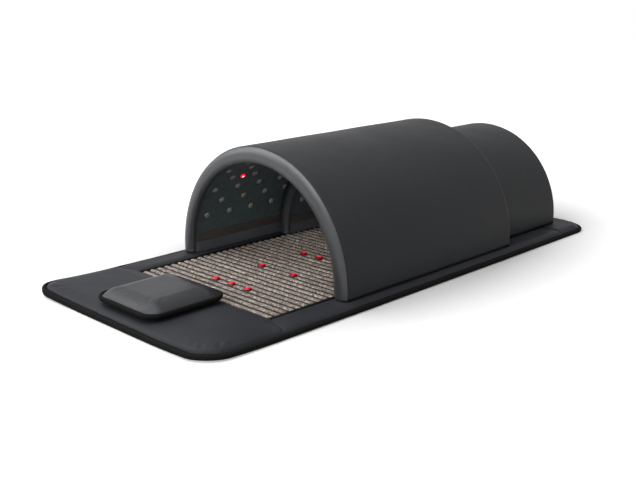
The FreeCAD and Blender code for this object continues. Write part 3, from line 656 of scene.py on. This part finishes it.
def domeLiner(size, stones):
    inner, outer = size["inside"], size["liner"]
    x0, x1 = size["start"], size["end"]
    face = [(x0, inner)] + runPoints((x0, inner), (x1, inner), linerBuild["lengthSteps"]) + [(x1, inner)]
    back = [(x1, outer)] + runPoints((x1, outer), (x0, outer), linerBuild["backSteps"]) + [(x0, outer)]
    section = [(x, r, 0) for x, r in face + back]
    bm = sweepArch(section, size["coverFoot"], size["spring"], *linerBuild["sweep"])
    tree = treeOf(stones)
    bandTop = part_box(size["name"] + "_skirt_bands")[1].z
    for vert in bm.verts:
        spoke = Vector((0, vert.co.y, vert.co.z - size["spring"]))
        if spoke.length < inner + linerBuild["touch"] and vert.co.z > bandTop:
            away = tree.find(vert.co)[2] / linerBuild["dimple"]
            edge = min(vert.co.x - x0, x1 - vert.co.x, vert.co.z - bandTop) / linerBuild["edge"]
            puff = linerBuild["puff"] * (1 - math.exp(-away * away)) * min(1, max(0, edge))
            vert.co -= spoke.normalized() * puff
    width = math.pi * inner + 2 * (size["spring"] - size["coverFoot"])
    piece = smoothed(newPiece(size["name"] + "_liner_cloth", bm, size["body"], "liner_fabric",
                              (size["name"] + "_liner",)))
    film = size["name"] + "_heating_film"
    return (piece, x1 - x0)[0]


def onLiner(size, centre):  # foot of a stone or lamp on the liner, and the way in from there
    spoke = Vector((0, centre.y, centre.z - size["spring"])).normalized()
    return Vector((centre.x, 0, size["spring"])) + spoke * size["inside"], -spoke


stoneBuild = {"radius": 11.5 * mm, "height": 4.3 * mm, "sunk": 1.2 * mm, "steps": 12, "turn": 1.7,
              "profile": [(0, 1), (0.5, 0.92), (0.84, 0.6), (1, 0.08)]}


def linerStones(size, centres):
    radius, height = stoneBuild["radius"], stoneBuild["height"]
    profile = [(out * radius, up * height) for out, up in stoneBuild["profile"]]
    profile.append((radius, -stoneBuild["sunk"]))
    bm = turnedTemplate(profile, stoneBuild["steps"])
    places = []
    for index, centre in enumerate(centres):
        foot, inwards = onLiner(size, centre)
        spin = Matrix.Rotation(index * stoneBuild["turn"], 4, "Z")
        places.append(standing(foot, inwards, Vector((1, 0, 0))) @ spin)
    scatter(bm, places)
    name = size["name"] + "_liner_stones"
    return newPiece(name + "_cut", bm, size["body"], "jade", (name,))


lampBuild = {"radius": 9 * mm, "body": 2 * mm, "cap": 5 * mm, "capSteps": 6, "collar": 12 * mm, "steps": 20}


def lensTemplate(radius, look):
    steps, body, cap = look["capSteps"], look["body"], look["cap"]
    angles = [math.pi / 2 * step / steps for step in range(steps - 1, -1, -1)]
    dome = [(radius * math.cos(angle), body + cap * math.sin(angle)) for angle in angles]
    return turnedTemplate([(0, body + cap)] + dome + [(radius, 0)], look["steps"], radius)


def domeLamps(size):
    name = size["name"] + "_lamps"
    spots = [onLiner(size, centre) for centre in islandCentres(name)]
    places = [standing(foot, inwards, Vector((1, 0, 0))) for foot, inwards in spots]
    inner, outer = lampBuild["radius"], lampBuild["collar"]
    bm = lensTemplate(inner, lampBuild)
    lenses = newPiece(name + "_lit", scatter(bm, places), size["body"], "lit_lens", (name,))
    collar = [(inner, 1.6 * mm), (inner + 0.7 * mm, 2.0 * mm), (outer - 0.6 * mm, 1.2 * mm),
              (outer, -0.6 * mm), (inner, -0.6 * mm), (inner, 1.6 * mm)]
    bm = turnedTemplate(collar, lampBuild["steps"])
    # the collars share the red lens finish, whose glow is a painted halo round each lit lamp
    newPiece(name + "_collars", scatter(bm, places), size["body"], "red_lens")
    return lenses


stripBuild = {"steps": 60, "round": 1.2 * mm, "rumple": 0.8 * mm, "rumpleSize": 60 * mm, "seed": 1.9}


def sideStrips(size, part, finish):  # leather skirt or cloth band along both feet of the liner
    node = size["name"] + "_" + part
    low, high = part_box(node)
    bm = bmesh.new()
    inner = innerSide(node)
    corner = stripBuild["round"]
    for side in (-1, 1):
        section = []
        corners = [(inner, low.z), (high.y, low.z), (high.y, high.z), (inner, high.z)]
        for turn, (r, z) in enumerate(corners):
            centre = (r + (corner if turn in (0, 3) else -corner), z + (corner if turn < 2 else -corner))
            section += arcPoints(centre, corner, 180 + 90 * turn, 270 + 90 * turn, 2)
            if turn == 3:
                section += runPoints((inner, high.z - corner), (inner, low.z + corner), 6)
        sweepAlong(bm, [(side * r, z) for r, z in section], low, high, stripBuild["steps"])
    bmesh.ops.recalc_face_normals(bm, faces=bm.faces[:])
    rumple(bm, stripBuild, lambda co: abs(co.y) < inner + 0.1 * mm)
    piece = newPiece(node + "_sewn", bm, size["body"], finish, (node,))
    return (piece, size["name"] + "_liner_cloth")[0]


for domeName in ("large", "small"):
    size = domeSizes(domeName)
    stoneCentres = islandCentres(domeName + "_liner_stones")
    domeCover(size)
    domeRim(size, "front")
    domeRim(size, "rear")
    seamStitches(size)
    domeLiner(size, [onLiner(size, centre)[0] for centre in stoneCentres])
    linerStones(size, stoneCentres)
    domeLamps(size)
    sideStrips(size, "inner_skirts", "skirt_leather")
    sideStrips(size, "skirt_bands", "band_fabric")
    print(domeName, "dome:", len(stoneCentres), "stones")


# mat and pillow: padded pieces are blown up as cloth
def applied(piece):
    mesh = bpy.data.meshes.new_from_object(piece.evaluated_get(bpy.context.evaluated_depsgraph_get()))
    piece.modifiers.clear()
    piece.data = mesh
    return piece


def puffed(piece, look, held, shape=None, frames=20):
    remesh = piece.modifiers.new("voxels", "REMESH")
    remesh.mode, remesh.voxel_size = "VOXEL", look["voxel"]
    applied(piece)
    if shape:
        for vert in piece.data.vertices:
            vert.co = shape(vert.co)
    rest = [vert.co.copy() for vert in piece.data.vertices]
    group = piece.vertex_groups.new(name="held")
    group.add([index for index, co in enumerate(rest) if held(co)], 1.0, "REPLACE")
    cloth = piece.modifiers.new("cloth", "CLOTH")
    cloth.settings.use_pressure = True
    cloth.settings.uniform_pressure_force = look["pressure"]
    cloth.settings.effector_weights.gravity = 0
    cloth.settings.vertex_group_mass = "held"
    for step in range(1, frames + 1):
        scene.frame_set(step)
    applied(piece)
    scene.frame_set(1)
    for vert, start in zip(piece.data.vertices, rest):
        move = vert.co - start
        if move.length > look["cap"]:
            vert.co = start + move * (look["cap"] / move.length)
    piece.vertex_groups.clear()
    shade(piece, True)
    return piece


def slab(plan, corners, radius, low, high):
    x0, x1, y0, y1 = plan
    bm = bmesh.new()
    bmesh.ops.create_grid(bm, x_segments=1, y_segments=1, size=0.5)
    bmesh.ops.scale(bm, vec=(x1 - x0, y1 - y0, 1), verts=bm.verts[:])
    bmesh.ops.translate(bm, vec=((x0 + x1) / 2, (y0 + y1) / 2, low), verts=bm.verts[:])
    if corners:
        rounded = [vert for vert in bm.verts if corners(vert.co)]
        bmesh.ops.bevel(bm, geom=rounded, offset=radius, offset_type="OFFSET", affect="VERTICES",
                        segments=10, profile=0.5, material=-1)
    made = bmesh.ops.extrude_face_region(bm, geom=bm.faces[:])["geom"]
    bmesh.ops.translate(bm, vec=(0, 0, high - low), verts=vertsOf(made))
    bmesh.ops.recalc_face_normals(bm, faces=bm.faces[:])
    return bm


def rolledSlab(plan, corners, radius, low, high, roll):
    bm = slab(plan, corners, radius, low, high)
    rim = [edge for edge in bm.edges if all(vert.co.z > high - 0.1 * mm for vert in edge.verts)]
    bmesh.ops.bevel(bm, geom=rim, offset=roll, offset_type="OFFSET", affect="EDGES", segments=4,
                    profile=0.5, material=-1)
    return bm


matCorner = 90 * mm


def depthInside(place, half, radius):  # distance in from the edge of a rounded rectangle about the origin
    over = [abs(value) - limit + radius for value, limit in zip(place, half)]
    return radius - math.hypot(max(over[0], 0), max(over[1], 0)) - min(max(over), 0)


def fromEdge(co, inset):  # distance in from the mat's outline, drawn in by the inset
    half = (cadBox[1].x - inset, cadBox[1].y - inset)
    return depthInside((co.x, co.y), half, matCorner - inset)


edgeLook = {"near": 14 * mm, "far": 21 * mm, "liftReach": 280 * mm, "liftSteps": 8,
            "farCorner": {"lift": 11 * mm, "push": 8.4 * mm},
            "nearCorner": {"lift": 7 * mm, "push": -5.6 * mm}}


def edgeHeight(co):
    across = (co.y - cadBox[0].y) / (cadBox[1].y - cadBox[0].y)
    return edgeLook["near"] + (edgeLook["far"] - edgeLook["near"]) * across


def cornerCuts(bm):  # edges across a flat sheet, so that its corner can bend
    for step in range(1, edgeLook["liftSteps"] + 1):
        reach = edgeLook["liftReach"] * step / edgeLook["liftSteps"]
        cuts = [((cadBox[0].x + reach, 0, 0), (1, 0, 0))]
        cuts += [((0, y, 0), (0, 1, 0)) for y in (cadBox[1].y - reach, cadBox[0].y + reach)]
        for place, way in cuts:
            bmesh.ops.bisect_plane(bm, geom=whole(bm), plane_co=place, plane_no=way)
    return bm


def lifted(piece):  # the corners by the head stand off the floor a little, and aren't quite alike
    for corner, side in ((edgeLook["farCorner"], 1), (edgeLook["nearCorner"], -1)):
        tip = Vector((cadBox[0].x, cadBox[1].y * side, 0))
        for vert in piece.data.vertices:
            share = max(0.0, 1 - (vert.co - tip).xy.length / edgeLook["liftReach"]) ** 2
            vert.co += Vector((-corner["push"], corner["push"] * side, corner["lift"])) * share
    return piece


panelLook = {"voxel": 6 * mm, "pressure": 2.5, "cap": 3.5 * mm, "atEdge": 8 * mm, "under": 9 * mm,
             "sink": 1.5 * mm, "roll": 6 * mm, "press": 1.2 * mm, "edgeFoot": 5 * mm, "edgeTop": 2 * mm,
             "reach": 26 * mm, "slant": 40 * mm, "slantReach": 140 * mm, "clear": 0.3 * mm,
             "endCorners": 0.8, "pucker": 1.0 * mm, "puckerSize": 24 * mm, "puckerReach": 34 * mm,
             "puckerFrom": 6 * mm, "puckerSeed": Vector((4.1, 0, 0))}


def matPanel(node, corners=None):
    low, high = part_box(node)
    plan = [low.x, high.x, low.y, high.y]
    for index, limit in ((0, cadBox[0].x), (1, cadBox[1].x), (2, cadBox[0].y), (3, cadBox[1].y)):
        outside = abs(plan[index] - limit) < panelLook["atEdge"]
        inset = panelLook["under"] if outside else -panelLook["press"]
        plan[index] += inset if index % 2 == 0 else -inset
    floor, top, reach = low.z, high.z - panelLook["sink"], panelLook["reach"]
    bm = rolledSlab(plan, corners, matCorner - panelLook["under"], floor, top, panelLook["roll"])
    piece = newPiece(node + "_pad", bm, "mat", "mat_leather", (node,))
    puffed(piece, panelLook, lambda co: co.z < floor + panelLook["voxel"])
    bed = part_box("mat_stone_quilt")
    peak = max(vert.co.z for vert in piece.data.vertices) + panelLook["pucker"] / 2
    squash = min(1.0, (high.z - panelLook["clear"] - floor) / (peak - floor))  # the domes slide over it
    for vert in piece.data.vertices:
        x, y, z = vert.co
        near = max(0.0, min(x - plan[0], plan[1] - x, y - plan[2], plan[3] - y) / panelLook["puckerReach"])
        if z > floor + panelLook["puckerFrom"] and near < 1:  # gathers along the sewn edges
            wave = noise.noise(Vector((x, y, 0)) / panelLook["puckerSize"] + panelLook["puckerSeed"])
            z += panelLook["pucker"] * wave * (1 - near) ** 2
        fall = max(0.0, 1 - fromEdge(vert.co, panelLook["under"]) / reach)
        edge = edgeHeight(vert.co)  # the outer edge falls to the binding
        foot = floor + min(0.0, edge - panelLook["edgeFoot"] - floor) * fall
        head = top - (top - edge + panelLook["edgeTop"]) * (1 - math.sqrt(max(0.0, 1 - fall * fall)))
        vert.co.z = foot + (z - floor) * squash / (top - floor) * (head - foot)
        out = max(0.0, abs(y) - bed[1].y) / (cadBox[1].y - bed[1].y)  # seams by the head panel run aslant
        vert.co.x -= panelLook["slant"] * out * max(0.0, 1 - abs(x - bed[0].x) / panelLook["slantReach"])
    return smoothed(lifted(piece))


matPanel("mat_head_panel", lambda co: co.x < -panelLook["endCorners"])
matPanel("mat_foot_panel", lambda co: co.x > panelLook["endCorners"])
matPanel("mat_near_border")
matPanel("mat_far_border")
print("mat panels")


def cutOut(piece, node, gap):  # room for a CAD piece that is let in
    low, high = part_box(node)
    bm = bmesh.new()
    bmesh.ops.create_cube(bm, size=1)
    bmesh.ops.scale(bm, vec=[side + 2 * gap for side in high - low], verts=bm.verts[:])
    bmesh.ops.translate(bm, vec=(low + high) / 2, verts=bm.verts[:])
    cutter = meshObject("cutter", bm)
    cut = piece.modifiers.new("cut", "BOOLEAN")
    cut.operation, cut.object = "DIFFERENCE", cutter
    applied(piece)
    bpy.data.objects.remove(cutter)
    return piece


coreLook = {"slack": 1 * mm, "socketGap": 0.5 * mm}


def matCore():
    low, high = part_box("mat_core")
    inset = panelLook["under"] + coreLook["slack"]
    plan = (low.x + inset, high.x - inset, low.y + inset, high.y - inset)
    foot = edgeLook["near"] - panelLook["edgeFoot"] - coreLook["slack"]
    bm = slab(plan, lambda co: True, matCorner - inset, low.z, foot)
    lid = max(bm.faces, key=lambda face: face.calc_center_median().z)
    bmesh.ops.inset_region(bm, faces=[lid], thickness=panelLook["reach"], depth=high.z - foot,
                           use_even_offset=True)
    piece = newPiece("mat_core_foam", cornerCuts(bm), "mat", "foam", ("mat_core",))
    shade(piece, False)
    return lifted(cutOut(piece, "mat_power_socket", coreLook["socketGap"]))


matCore()


def sweepRound(section, box, corner, straightSteps, cornerSteps):
    low, high = box  # section is (outwards from the outline, height)
    bm = bmesh.new()
    along, across = bm.verts.layers.float.new("along"), bm.verts.layers.float.new("across")
    ring = startRing(bm, [(low.x + corner, low.y - out, z) for out, z in section])
    reach, last = 0.0, section[0]
    for vert, point in zip(ring, section):
        reach += math.dist(point, last)
        vert[across], last = reach, point
    travelled = 0.0
    first = ring
    heading = Vector((1, 0, 0))
    quarter = Matrix.Rotation(math.pi / 2 / cornerSteps, 3, "Z")
    left, right, near, far = low.x + corner, high.x - corner, low.y + corner, high.y - corner
    hubs = [(right, near), (right, far), (left, far), (left, near)]
    for side, hub in enumerate(hubs):
        run = (high.x - low.x if side % 2 == 0 else high.y - low.y) - 2 * corner
        moves = [(run / straightSteps, False)] * straightSteps
        moves += [(corner * math.pi / 2 / cornerSteps, True)] * cornerSteps
        for length, turning in moves:
            depths = [vert[across] for vert in ring]
            ring = extrudeRing(bm, ring)
            travelled += length
            for vert, depth in zip(ring, depths):
                vert[along], vert[across] = travelled, depth
            if turning:
                bmesh.ops.rotate(bm, cent=(*hub, 0), matrix=quarter, verts=ring)
            else:
                bmesh.ops.translate(bm, vec=heading * length, verts=ring)
        heading = Matrix.Rotation(math.pi / 2, 3, "Z") @ heading
    uv = bm.loops.layers.uv.new("tape")
    for face in bm.faces:
        for loop in face.loops:
            loop[uv].uv = (loop.vert[along], loop.vert[across])
    bmesh.ops.remove_doubles(bm, verts=first + ring, dist=0.05 * mm)
    bmesh.ops.recalc_face_normals(bm, faces=bm.faces[:])
    return bm


def roundedEdge(bend, low, high, steps):  # outer side of a folded tape
    edge = arcPoints((-bend, low + bend), bend, 270, 360, steps)
    return edge + arcPoints((-bend, high - bend), bend, 0, 90, steps)


bindingLook = {"tape": 2 * mm, "lip": 11 * mm, "round": 5 * mm, "height": 13 * mm, "lift": 1.5 * mm,
               "straight": 60, "corner": 10, "rumple": 0.8 * mm, "rumpleSize": 45 * mm, "seed": 5.7,
               "rumpleFrom": 4 * mm}


def matBinding():
    low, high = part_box("mat_binding")
    tape, lip, bend = bindingLook["tape"], bindingLook["lip"], bindingLook["round"]
    top = low.z + bindingLook["height"]
    hem = top + bindingLook["lift"]
    inside = [(-lip, hem), (-lip, hem - tape), (-bend, top - tape), (-tape, top - bend),
              (-tape, low.z + bend), (-bend, low.z + tape), (-lip, low.z + tape)]
    section = [(-lip, low.z)] + roundedEdge(bend, low.z, top, 4) + inside
    bm = sweepRound(section, (low, high), matCorner, bindingLook["straight"], bindingLook["corner"])
    rumple(bm, bindingLook, lambda co: co.z > bindingLook["rumpleFrom"])
    for vert in bm.verts:
        vert.co.z *= edgeHeight(vert.co) / bindingLook["height"]
    piece = newPiece("mat_edge_binding", bm, "mat", "binding_tape", ("mat_binding",))
    lifted(cutOut(piece, "mat_power_socket", coreLook["socketGap"]))
    return piece


matBinding()


rowLook = {"pitch": 28 * mm, "width": 16 * mm, "height": 4.5 * mm, "step": 2.6 * mm, "around": 7,
           "fullness": 0.7, "endRound": 8 * mm, "endWidth": 0.35, "chip": 6.5 * mm, "chipLift": 1.8 * mm,
           "chipFrom": 0.5 * mm, "chipLevel": 0.35, "chipSide": 0.6, "seat": 16.5 * mm,
           "backingSteps": 24, "backingLap": 0.1 * mm}


def stoneRows():
    low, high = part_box("mat_stone_quilt")
    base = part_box("mat_bed_trims")[0].z
    height = rowLook["height"]
    halfRow = innerSide("mat_bed_trims")
    count = round((high.x - low.x) / rowLook["pitch"])
    steps = int(2 * halfRow / rowLook["step"])
    tree = treeOf([(lamp.x, lamp.y, 0) for lamp in islandCentres("mat_lamp_lenses")])
    bm = bmesh.new()
    for row in range(count):
        middle = low.x + (row + 0.5) * rowLook["pitch"]
        grid = bmesh.ops.create_grid(bm, x_segments=rowLook["around"], y_segments=steps, size=0.5)["verts"]
        rim = list({edge for vert in grid for edge in vert.link_edges if edge.is_boundary})
        for vert in grid:
            angle, y = vert.co.x * math.pi, vert.co.y * 2 * halfRow
            near = max(0.0, 1 - (halfRow - abs(y)) / rowLook["endRound"])
            taper = math.sqrt(max(0.0, 1 - near * near))
            width = rowLook["width"] / 2 * (rowLook["endWidth"] + (1 - rowLook["endWidth"]) * taper)
            rise = max(0.0, math.cos(angle)) ** rowLook["fullness"]
            across, lift = math.sin(angle) * width, rise * height * taper
            place = Vector((middle + across, y, base + lift))
            if lift > rowLook["chipFrom"]:
                cell = noise.voronoi(place / rowLook["chip"])[0]
                bulge = rowLook["chipLift"] * (cell[1] - cell[0] - rowLook["chipLevel"])
                place += Vector((math.sin(angle) * rowLook["chipSide"], 0, math.cos(angle))) * bulge
            if tree.find((place.x, place.y, 0))[2] < rowLook["seat"]:
                place.z = base
            vert.co = place
        bmesh.ops.edgeloop_fill(bm, edges=rim)
    piece = newPiece("mat_stone_rows", bm, "mat", "stone_channels", ("mat_stone_quilt",))
    backing = bmesh.new()
    bmesh.ops.create_grid(backing, x_segments=count, y_segments=rowLook["backingSteps"], size=0.5)
    bmesh.ops.scale(backing, vec=(high.x - low.x, high.y - low.y, 1), verts=backing.verts[:])
    middle = ((low.x + high.x) / 2, 0, base + rowLook["backingLap"])
    bmesh.ops.translate(backing, vec=middle, verts=backing.verts[:])
    bmesh.ops.solidify(backing, geom=backing.faces[:], thickness=base - low.z)
    cloth = newPiece("mat_quilt_backing", backing, "mat", "quilt_fabric")
    print("stone rows:", count)
    return piece


stoneRows()


lensBuild = {"bezel": 2.0 * mm, "grow": 2.0 * mm, "body": 5.0 * mm, "cap": 6.2 * mm, "capSteps": 7,
             "bezelHeight": 3.6 * mm, "steps": 28}


def matLamps():
    low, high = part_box("mat_lamp_bezels")
    centres = islandCentres("mat_lamp_bezels")
    places = [Matrix.Translation((centre.x, centre.y, low.z)) for centre in centres]
    outer = high.y - max(centre.y for centre in centres) + lensBuild["grow"]
    inner = outer - lensBuild["bezel"]
    bm = lensTemplate(inner, lensBuild)
    # these lenses are off: the red lens finish paints a glow on them, a highlight in the middle and shade at
    # the rim
    newPiece("mat_lamp_lenses_red", scatter(bm, places), "mat", "red_lens", ("mat_lamp_lenses",))
    top = lensBuild["bezelHeight"]
    ring = [(inner, top - 0.4 * mm), (inner + 0.6 * mm, top), (outer - 0.8 * mm, top - 1.2 * mm),
            (outer, top - 2.4 * mm), (outer, 0), (inner, 0), (inner, top - 0.4 * mm)]
    bm = turnedTemplate(ring, lensBuild["steps"])
    stands = ("mat_lamp_bezels",)
    return newPiece("mat_lamp_bezel_rings", scatter(bm, places), "mat", "black_plastic", stands)


matLamps()


trimBuild = {"round": 1.8 * mm, "steps": 120, "rumple": 0.9 * mm, "rumpleSize": 22 * mm, "seed": 2.3,
             "rumpleFrom": 2 * mm}


def bedTrims():
    node = "mat_bed_trims"
    low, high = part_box(node)
    inner = innerSide(node)
    bm = bmesh.new()
    corner = trimBuild["round"]
    for side in (-1, 1):
        section = arcPoints((inner + corner, high.z - corner), corner, 180, 90, 3)
        section += arcPoints((high.y - corner, high.z - corner), corner, 90, 0, 3)
        section += [(high.y, low.z), (inner, low.z)]
        sweepAlong(bm, [(side * y, z) for y, z in section], low, high, trimBuild["steps"])
    bmesh.ops.recalc_face_normals(bm, faces=bm.faces[:])
    rumple(bm, trimBuild, lambda co: co.z > low.z + trimBuild["rumpleFrom"])
    piece = newPiece("mat_bed_trims_sewn", bm, "mat", "trim_fabric", (node,))
    return piece


bedTrims()


undersideLook = {"inset": 3 * mm, "offFloor": 0.2 * mm, "roll": 0.6 * mm}


def matUnderside():
    low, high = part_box("mat_underside")
    inset, floor = undersideLook["inset"], low.z + undersideLook["offFloor"]
    plan = (low.x + inset, high.x - inset, low.y + inset, high.y - inset)
    bm = rolledSlab(plan, lambda co: True, matCorner - inset, floor, high.z, undersideLook["roll"])
    piece = newPiece("mat_underside_sheet", cornerCuts(bm), "mat", "mat_leather", ("mat_underside",))
    lifted(piece)
    return piece


matUnderside()
print("mat done")


pillowLook = {"voxel": 5 * mm, "pressure": 2.5, "cap": 1.5 * mm, "held": 6 * mm, "inset": 9.5 * mm,
              "corner": 40 * mm, "shoulder": 48 * mm, "soft": 52 * mm, "under": 30 * mm, "edge": 4 * mm,
              "crownDrop": 4 * mm, "fullness": 0.85}


def pillowPad():
    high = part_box("pillow_top_cover")[1]
    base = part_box("pillow_base_cover")[0].z
    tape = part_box("pillow_binding")
    seam, inset, radius = (tape[0].z + tape[1].z) / 2, pillowLook["inset"], pillowLook["corner"]
    plan = (tape[0].x + inset, tape[1].x - inset, tape[0].y + inset, tape[1].y - inset)
    middle = Vector(((plan[0] + plan[1]) / 2, (plan[2] + plan[3]) / 2))
    half = Vector(((plan[1] - plan[0]) / 2, (plan[3] - plan[2]) / 2))
    top, bottom = high.z - pillowLook["crownDrop"] - seam, seam - base

    def crowned(co):  # rises from the seam to a broad crown, and bellies a little below it
        away = max(0.0, depthInside(co.xy - middle, half, pillowLook["soft"]))
        share = (co.z - base) / (top + bottom) * 2 - 1
        reach, rise = (pillowLook["shoulder"], top) if share > 0 else (pillowLook["under"], bottom)
        swell = math.sin(math.pi / 2 * min(1, away / reach)) ** pillowLook["fullness"]
        height = pillowLook["edge"] + (rise - pillowLook["edge"]) * swell
        return Vector((co.x, co.y, seam + share * height))

    bm = slab(plan, lambda co: True, radius, base, base + top + bottom)
    piece = newPiece("pillow_pad", bm, "pillow", "pillow_leather",
                     ("pillow_top_cover", "pillow_base_cover", "pillow_filling"))
    puffed(piece, pillowLook, lambda co: abs(co.z - seam) < pillowLook["held"], crowned)
    for vert in piece.data.vertices:
        vert.co.z = max(vert.co.z, base)
    return smoothed(piece)


pipeLook = {"width": 12 * mm, "round": 6 * mm, "hem": 1.5 * mm, "corner": 50 * mm, "straight": 24,
            "cornerSteps": 10, "rumple": 1.2 * mm, "rumpleSize": 70 * mm, "seed": 9.1}


def pillowBinding():
    low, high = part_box("pillow_binding")
    bend, width, hem = pipeLook["round"], pipeLook["width"], pipeLook["hem"]
    section = roundedEdge(bend, low.z, high.z, 3) + [(-width, high.z - hem), (-width, low.z + hem)]
    bm = sweepRound(section, (low, high), pipeLook["corner"], pipeLook["straight"], pipeLook["cornerSteps"])
    rumple(bm, pipeLook)
    piece = newPiece("pillow_edge_binding", bm, "pillow", "binding_tape", ("pillow_binding",))
    smoothed(piece)
    return piece


pillowPad()
pillowBinding()
print("pillow done")

# CAD nodes that stay get the finish of their slot
cadSlots = {
    "shell": "bent_ply", "insulation": "foam", "base_rails": "rail_wood", "heating_film": "heating_film",
    "wiring_loom": "flat_cable", "heat_sensors": "sensor_body", "rail_screws": "screw_steel",
    "base_pads": "trim_fabric", "power_socket": "black_plastic",
}
for name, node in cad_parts.items():
    if not node.hide_render:
        node.data.materials.clear()
        node.data.materials.append(finishes[cadSlots[name.split("_", 1)[1]]])

# studio
studio = {
    "camera": (-2.2852, -2.1479, 0.9422), "yaw": 44.84, "pitch": 15.584, "roll": -0.145,
    "focalPixels": 930, "imageWidth": 636, "sensor": 36.0,
    "ambient": 0.16, "floorReach": 12, "floorGap": 0.5 * mm, "floor": (0.25, 0.25, 0.25),
    "floorSeen": (0.74, 0.74, 0.74), "floorGlow": 0.0, "floorFar": 1.0, "glowStart": 0.48, "glowEnd": 1.05,
    "glowStretch": (0.62, 1, 1),
    "lamps": [
        {"name": "key", "place": (-1.2, 0.7, 2.9), "aim": (-0.1, 0.7, 0.1), "size": 4.6,
         "depth": 2.2, "power": 94},
        {"name": "left", "place": (-1.9, 2.6, 1.9), "aim": (-0.4, 0, 0.4), "size": 2.4,
         "power": 40, "diffuse": False},
        {"name": "shoulder", "place": (-1.8, -0.7, 1.95), "aim": (-0.4, -0.28, 0.3), "size": 1.4,
         "power": 15, "diffuse": False},
        {"name": "front", "place": (-3.5, -0.4, 1.45), "aim": (0, 0, 0.15), "size": 2.0,
         "power": 58, "glossy": False},
        {"name": "side", "place": (-2.6, -2.8, 1.0), "aim": (0, 0, 0.15), "size": 2.0,
         "power": 20, "glossy": False},
        {"name": "inside", "place": (-1.9, 0.0, 0.85), "aim": (0.4, 0, 0.02), "size": 0.3,
         "power": 0.42, "spread": 26, "glossy": False},
        {"name": "liner", "place": (-0.2, -0.26, 0.16), "aim": (-0.2, 0.34, 0.14), "size": 0.25,
         "power": 0.26, "spread": 120, "glossy": False},
    ],
}


def aimed(place, target):
    return (Vector(target) - Vector(place)).to_track_quat("-Z", "Y").to_euler()


def makeStudio():
    camera = bpy.data.cameras.new("camera")
    camera.sensor_width = studio["sensor"]
    camera.lens = studio["focalPixels"] * studio["sensor"] / studio["imageWidth"]
    view = bpy.data.objects.new("camera", camera)
    turn = Matrix.Rotation(math.radians(studio["yaw"] - 90), 4, "Z")
    tilt = Matrix.Rotation(math.radians(90 - studio["pitch"]), 4, "X")
    roll = Matrix.Rotation(math.radians(studio["roll"]), 4, "Z")
    view.matrix_world = Matrix.Translation(studio["camera"]) @ turn @ tilt @ roll
    scene.collection.objects.link(view)
    scene.camera = view
    for lamp in studio["lamps"]:
        light = bpy.data.lights.new(lamp["name"], "AREA")
        light.shape, light.size, light.energy = "ELLIPSE", lamp["size"], lamp["power"]
        light.size_y = lamp.get("depth", lamp["size"])
        holder = bpy.data.objects.new(lamp["name"], light)
        holder.location, holder.rotation_euler = lamp["place"], aimed(lamp["place"], lamp["aim"])
        light.spread = math.radians(lamp.get("spread", 180))
        holder.visible_glossy, holder.visible_diffuse = lamp.get("glossy", True), lamp.get("diffuse", True)
        holder.visible_camera = False
        scene.collection.objects.link(holder)
    scene.world = bpy.data.worlds.new("studio")
    scene.world.use_nodes = True
    sky = NodeSheet(scene.world.node_tree)
    seen = seenRay(sky)
    strength = sky.stretch(seen, 0.0, 1.0, studio["ambient"], 1.0)
    white = sky.node("ShaderNodeBackground", None, {"Color": (1, 1, 1), "Strength": strength})
    sky.node("ShaderNodeOutputWorld", None, {"Surface": white})
    bm = bmesh.new()
    bmesh.ops.create_grid(bm, x_segments=2, y_segments=2, size=studio["floorReach"])
    bmesh.ops.translate(bm, vec=(0, 0, cadBox[0].z - studio["floorGap"]), verts=bm.verts[:])
    floor = meshObject("floor", bm)
    floor.data.materials.append(floorFinish())
    scene.view_settings.view_transform = "Standard"


def seenRay(sheet):
    rays = [sheet.node("ShaderNodeLightPath", None, None, out)
            for out in ("Is Camera Ray", "Is Glossy Ray", "Is Transmission Ray")]
    return sheet.node("ShaderNodeMath", {"operation": "MINIMUM"}, {0: rays[0] + rays[1] + rays[2], 1: 1.0})


def floorFinish():
    material = bpy.data.materials.new("studio floor")
    material.use_nodes = True
    sheet = NodeSheet(material.node_tree)
    seen = seenRay(sheet)
    colour = sheet.mix(seen, studio["floor"], studio["floorSeen"])
    lit = sheet.node("ShaderNodeBsdfDiffuse", None, {"Color": colour})
    place = sheet.node("ShaderNodeTexCoord", out="Object")
    sockets = {0: place, 1: studio["glowStretch"]}
    oval = sheet.node("ShaderNodeVectorMath", {"operation": "MULTIPLY"}, sockets)
    away = sheet.node("ShaderNodeVectorMath", {"operation": "LENGTH"}, {0: oval}, "Value")
    span = [studio[key] for key in ("glowStart", "glowEnd", "floorGlow", "floorFar")]
    strength = seen * sheet.stretch(away, *span)
    glow = sheet.node("ShaderNodeEmission", None, {"Color": (1, 1, 1), "Strength": strength})
    both = sheet.node("ShaderNodeAddShader", None, {0: lit, 1: glow})
    sheet.node("ShaderNodeOutputMaterial", None, {"Surface": both})
    return material


makeStudio()
print("studio done")
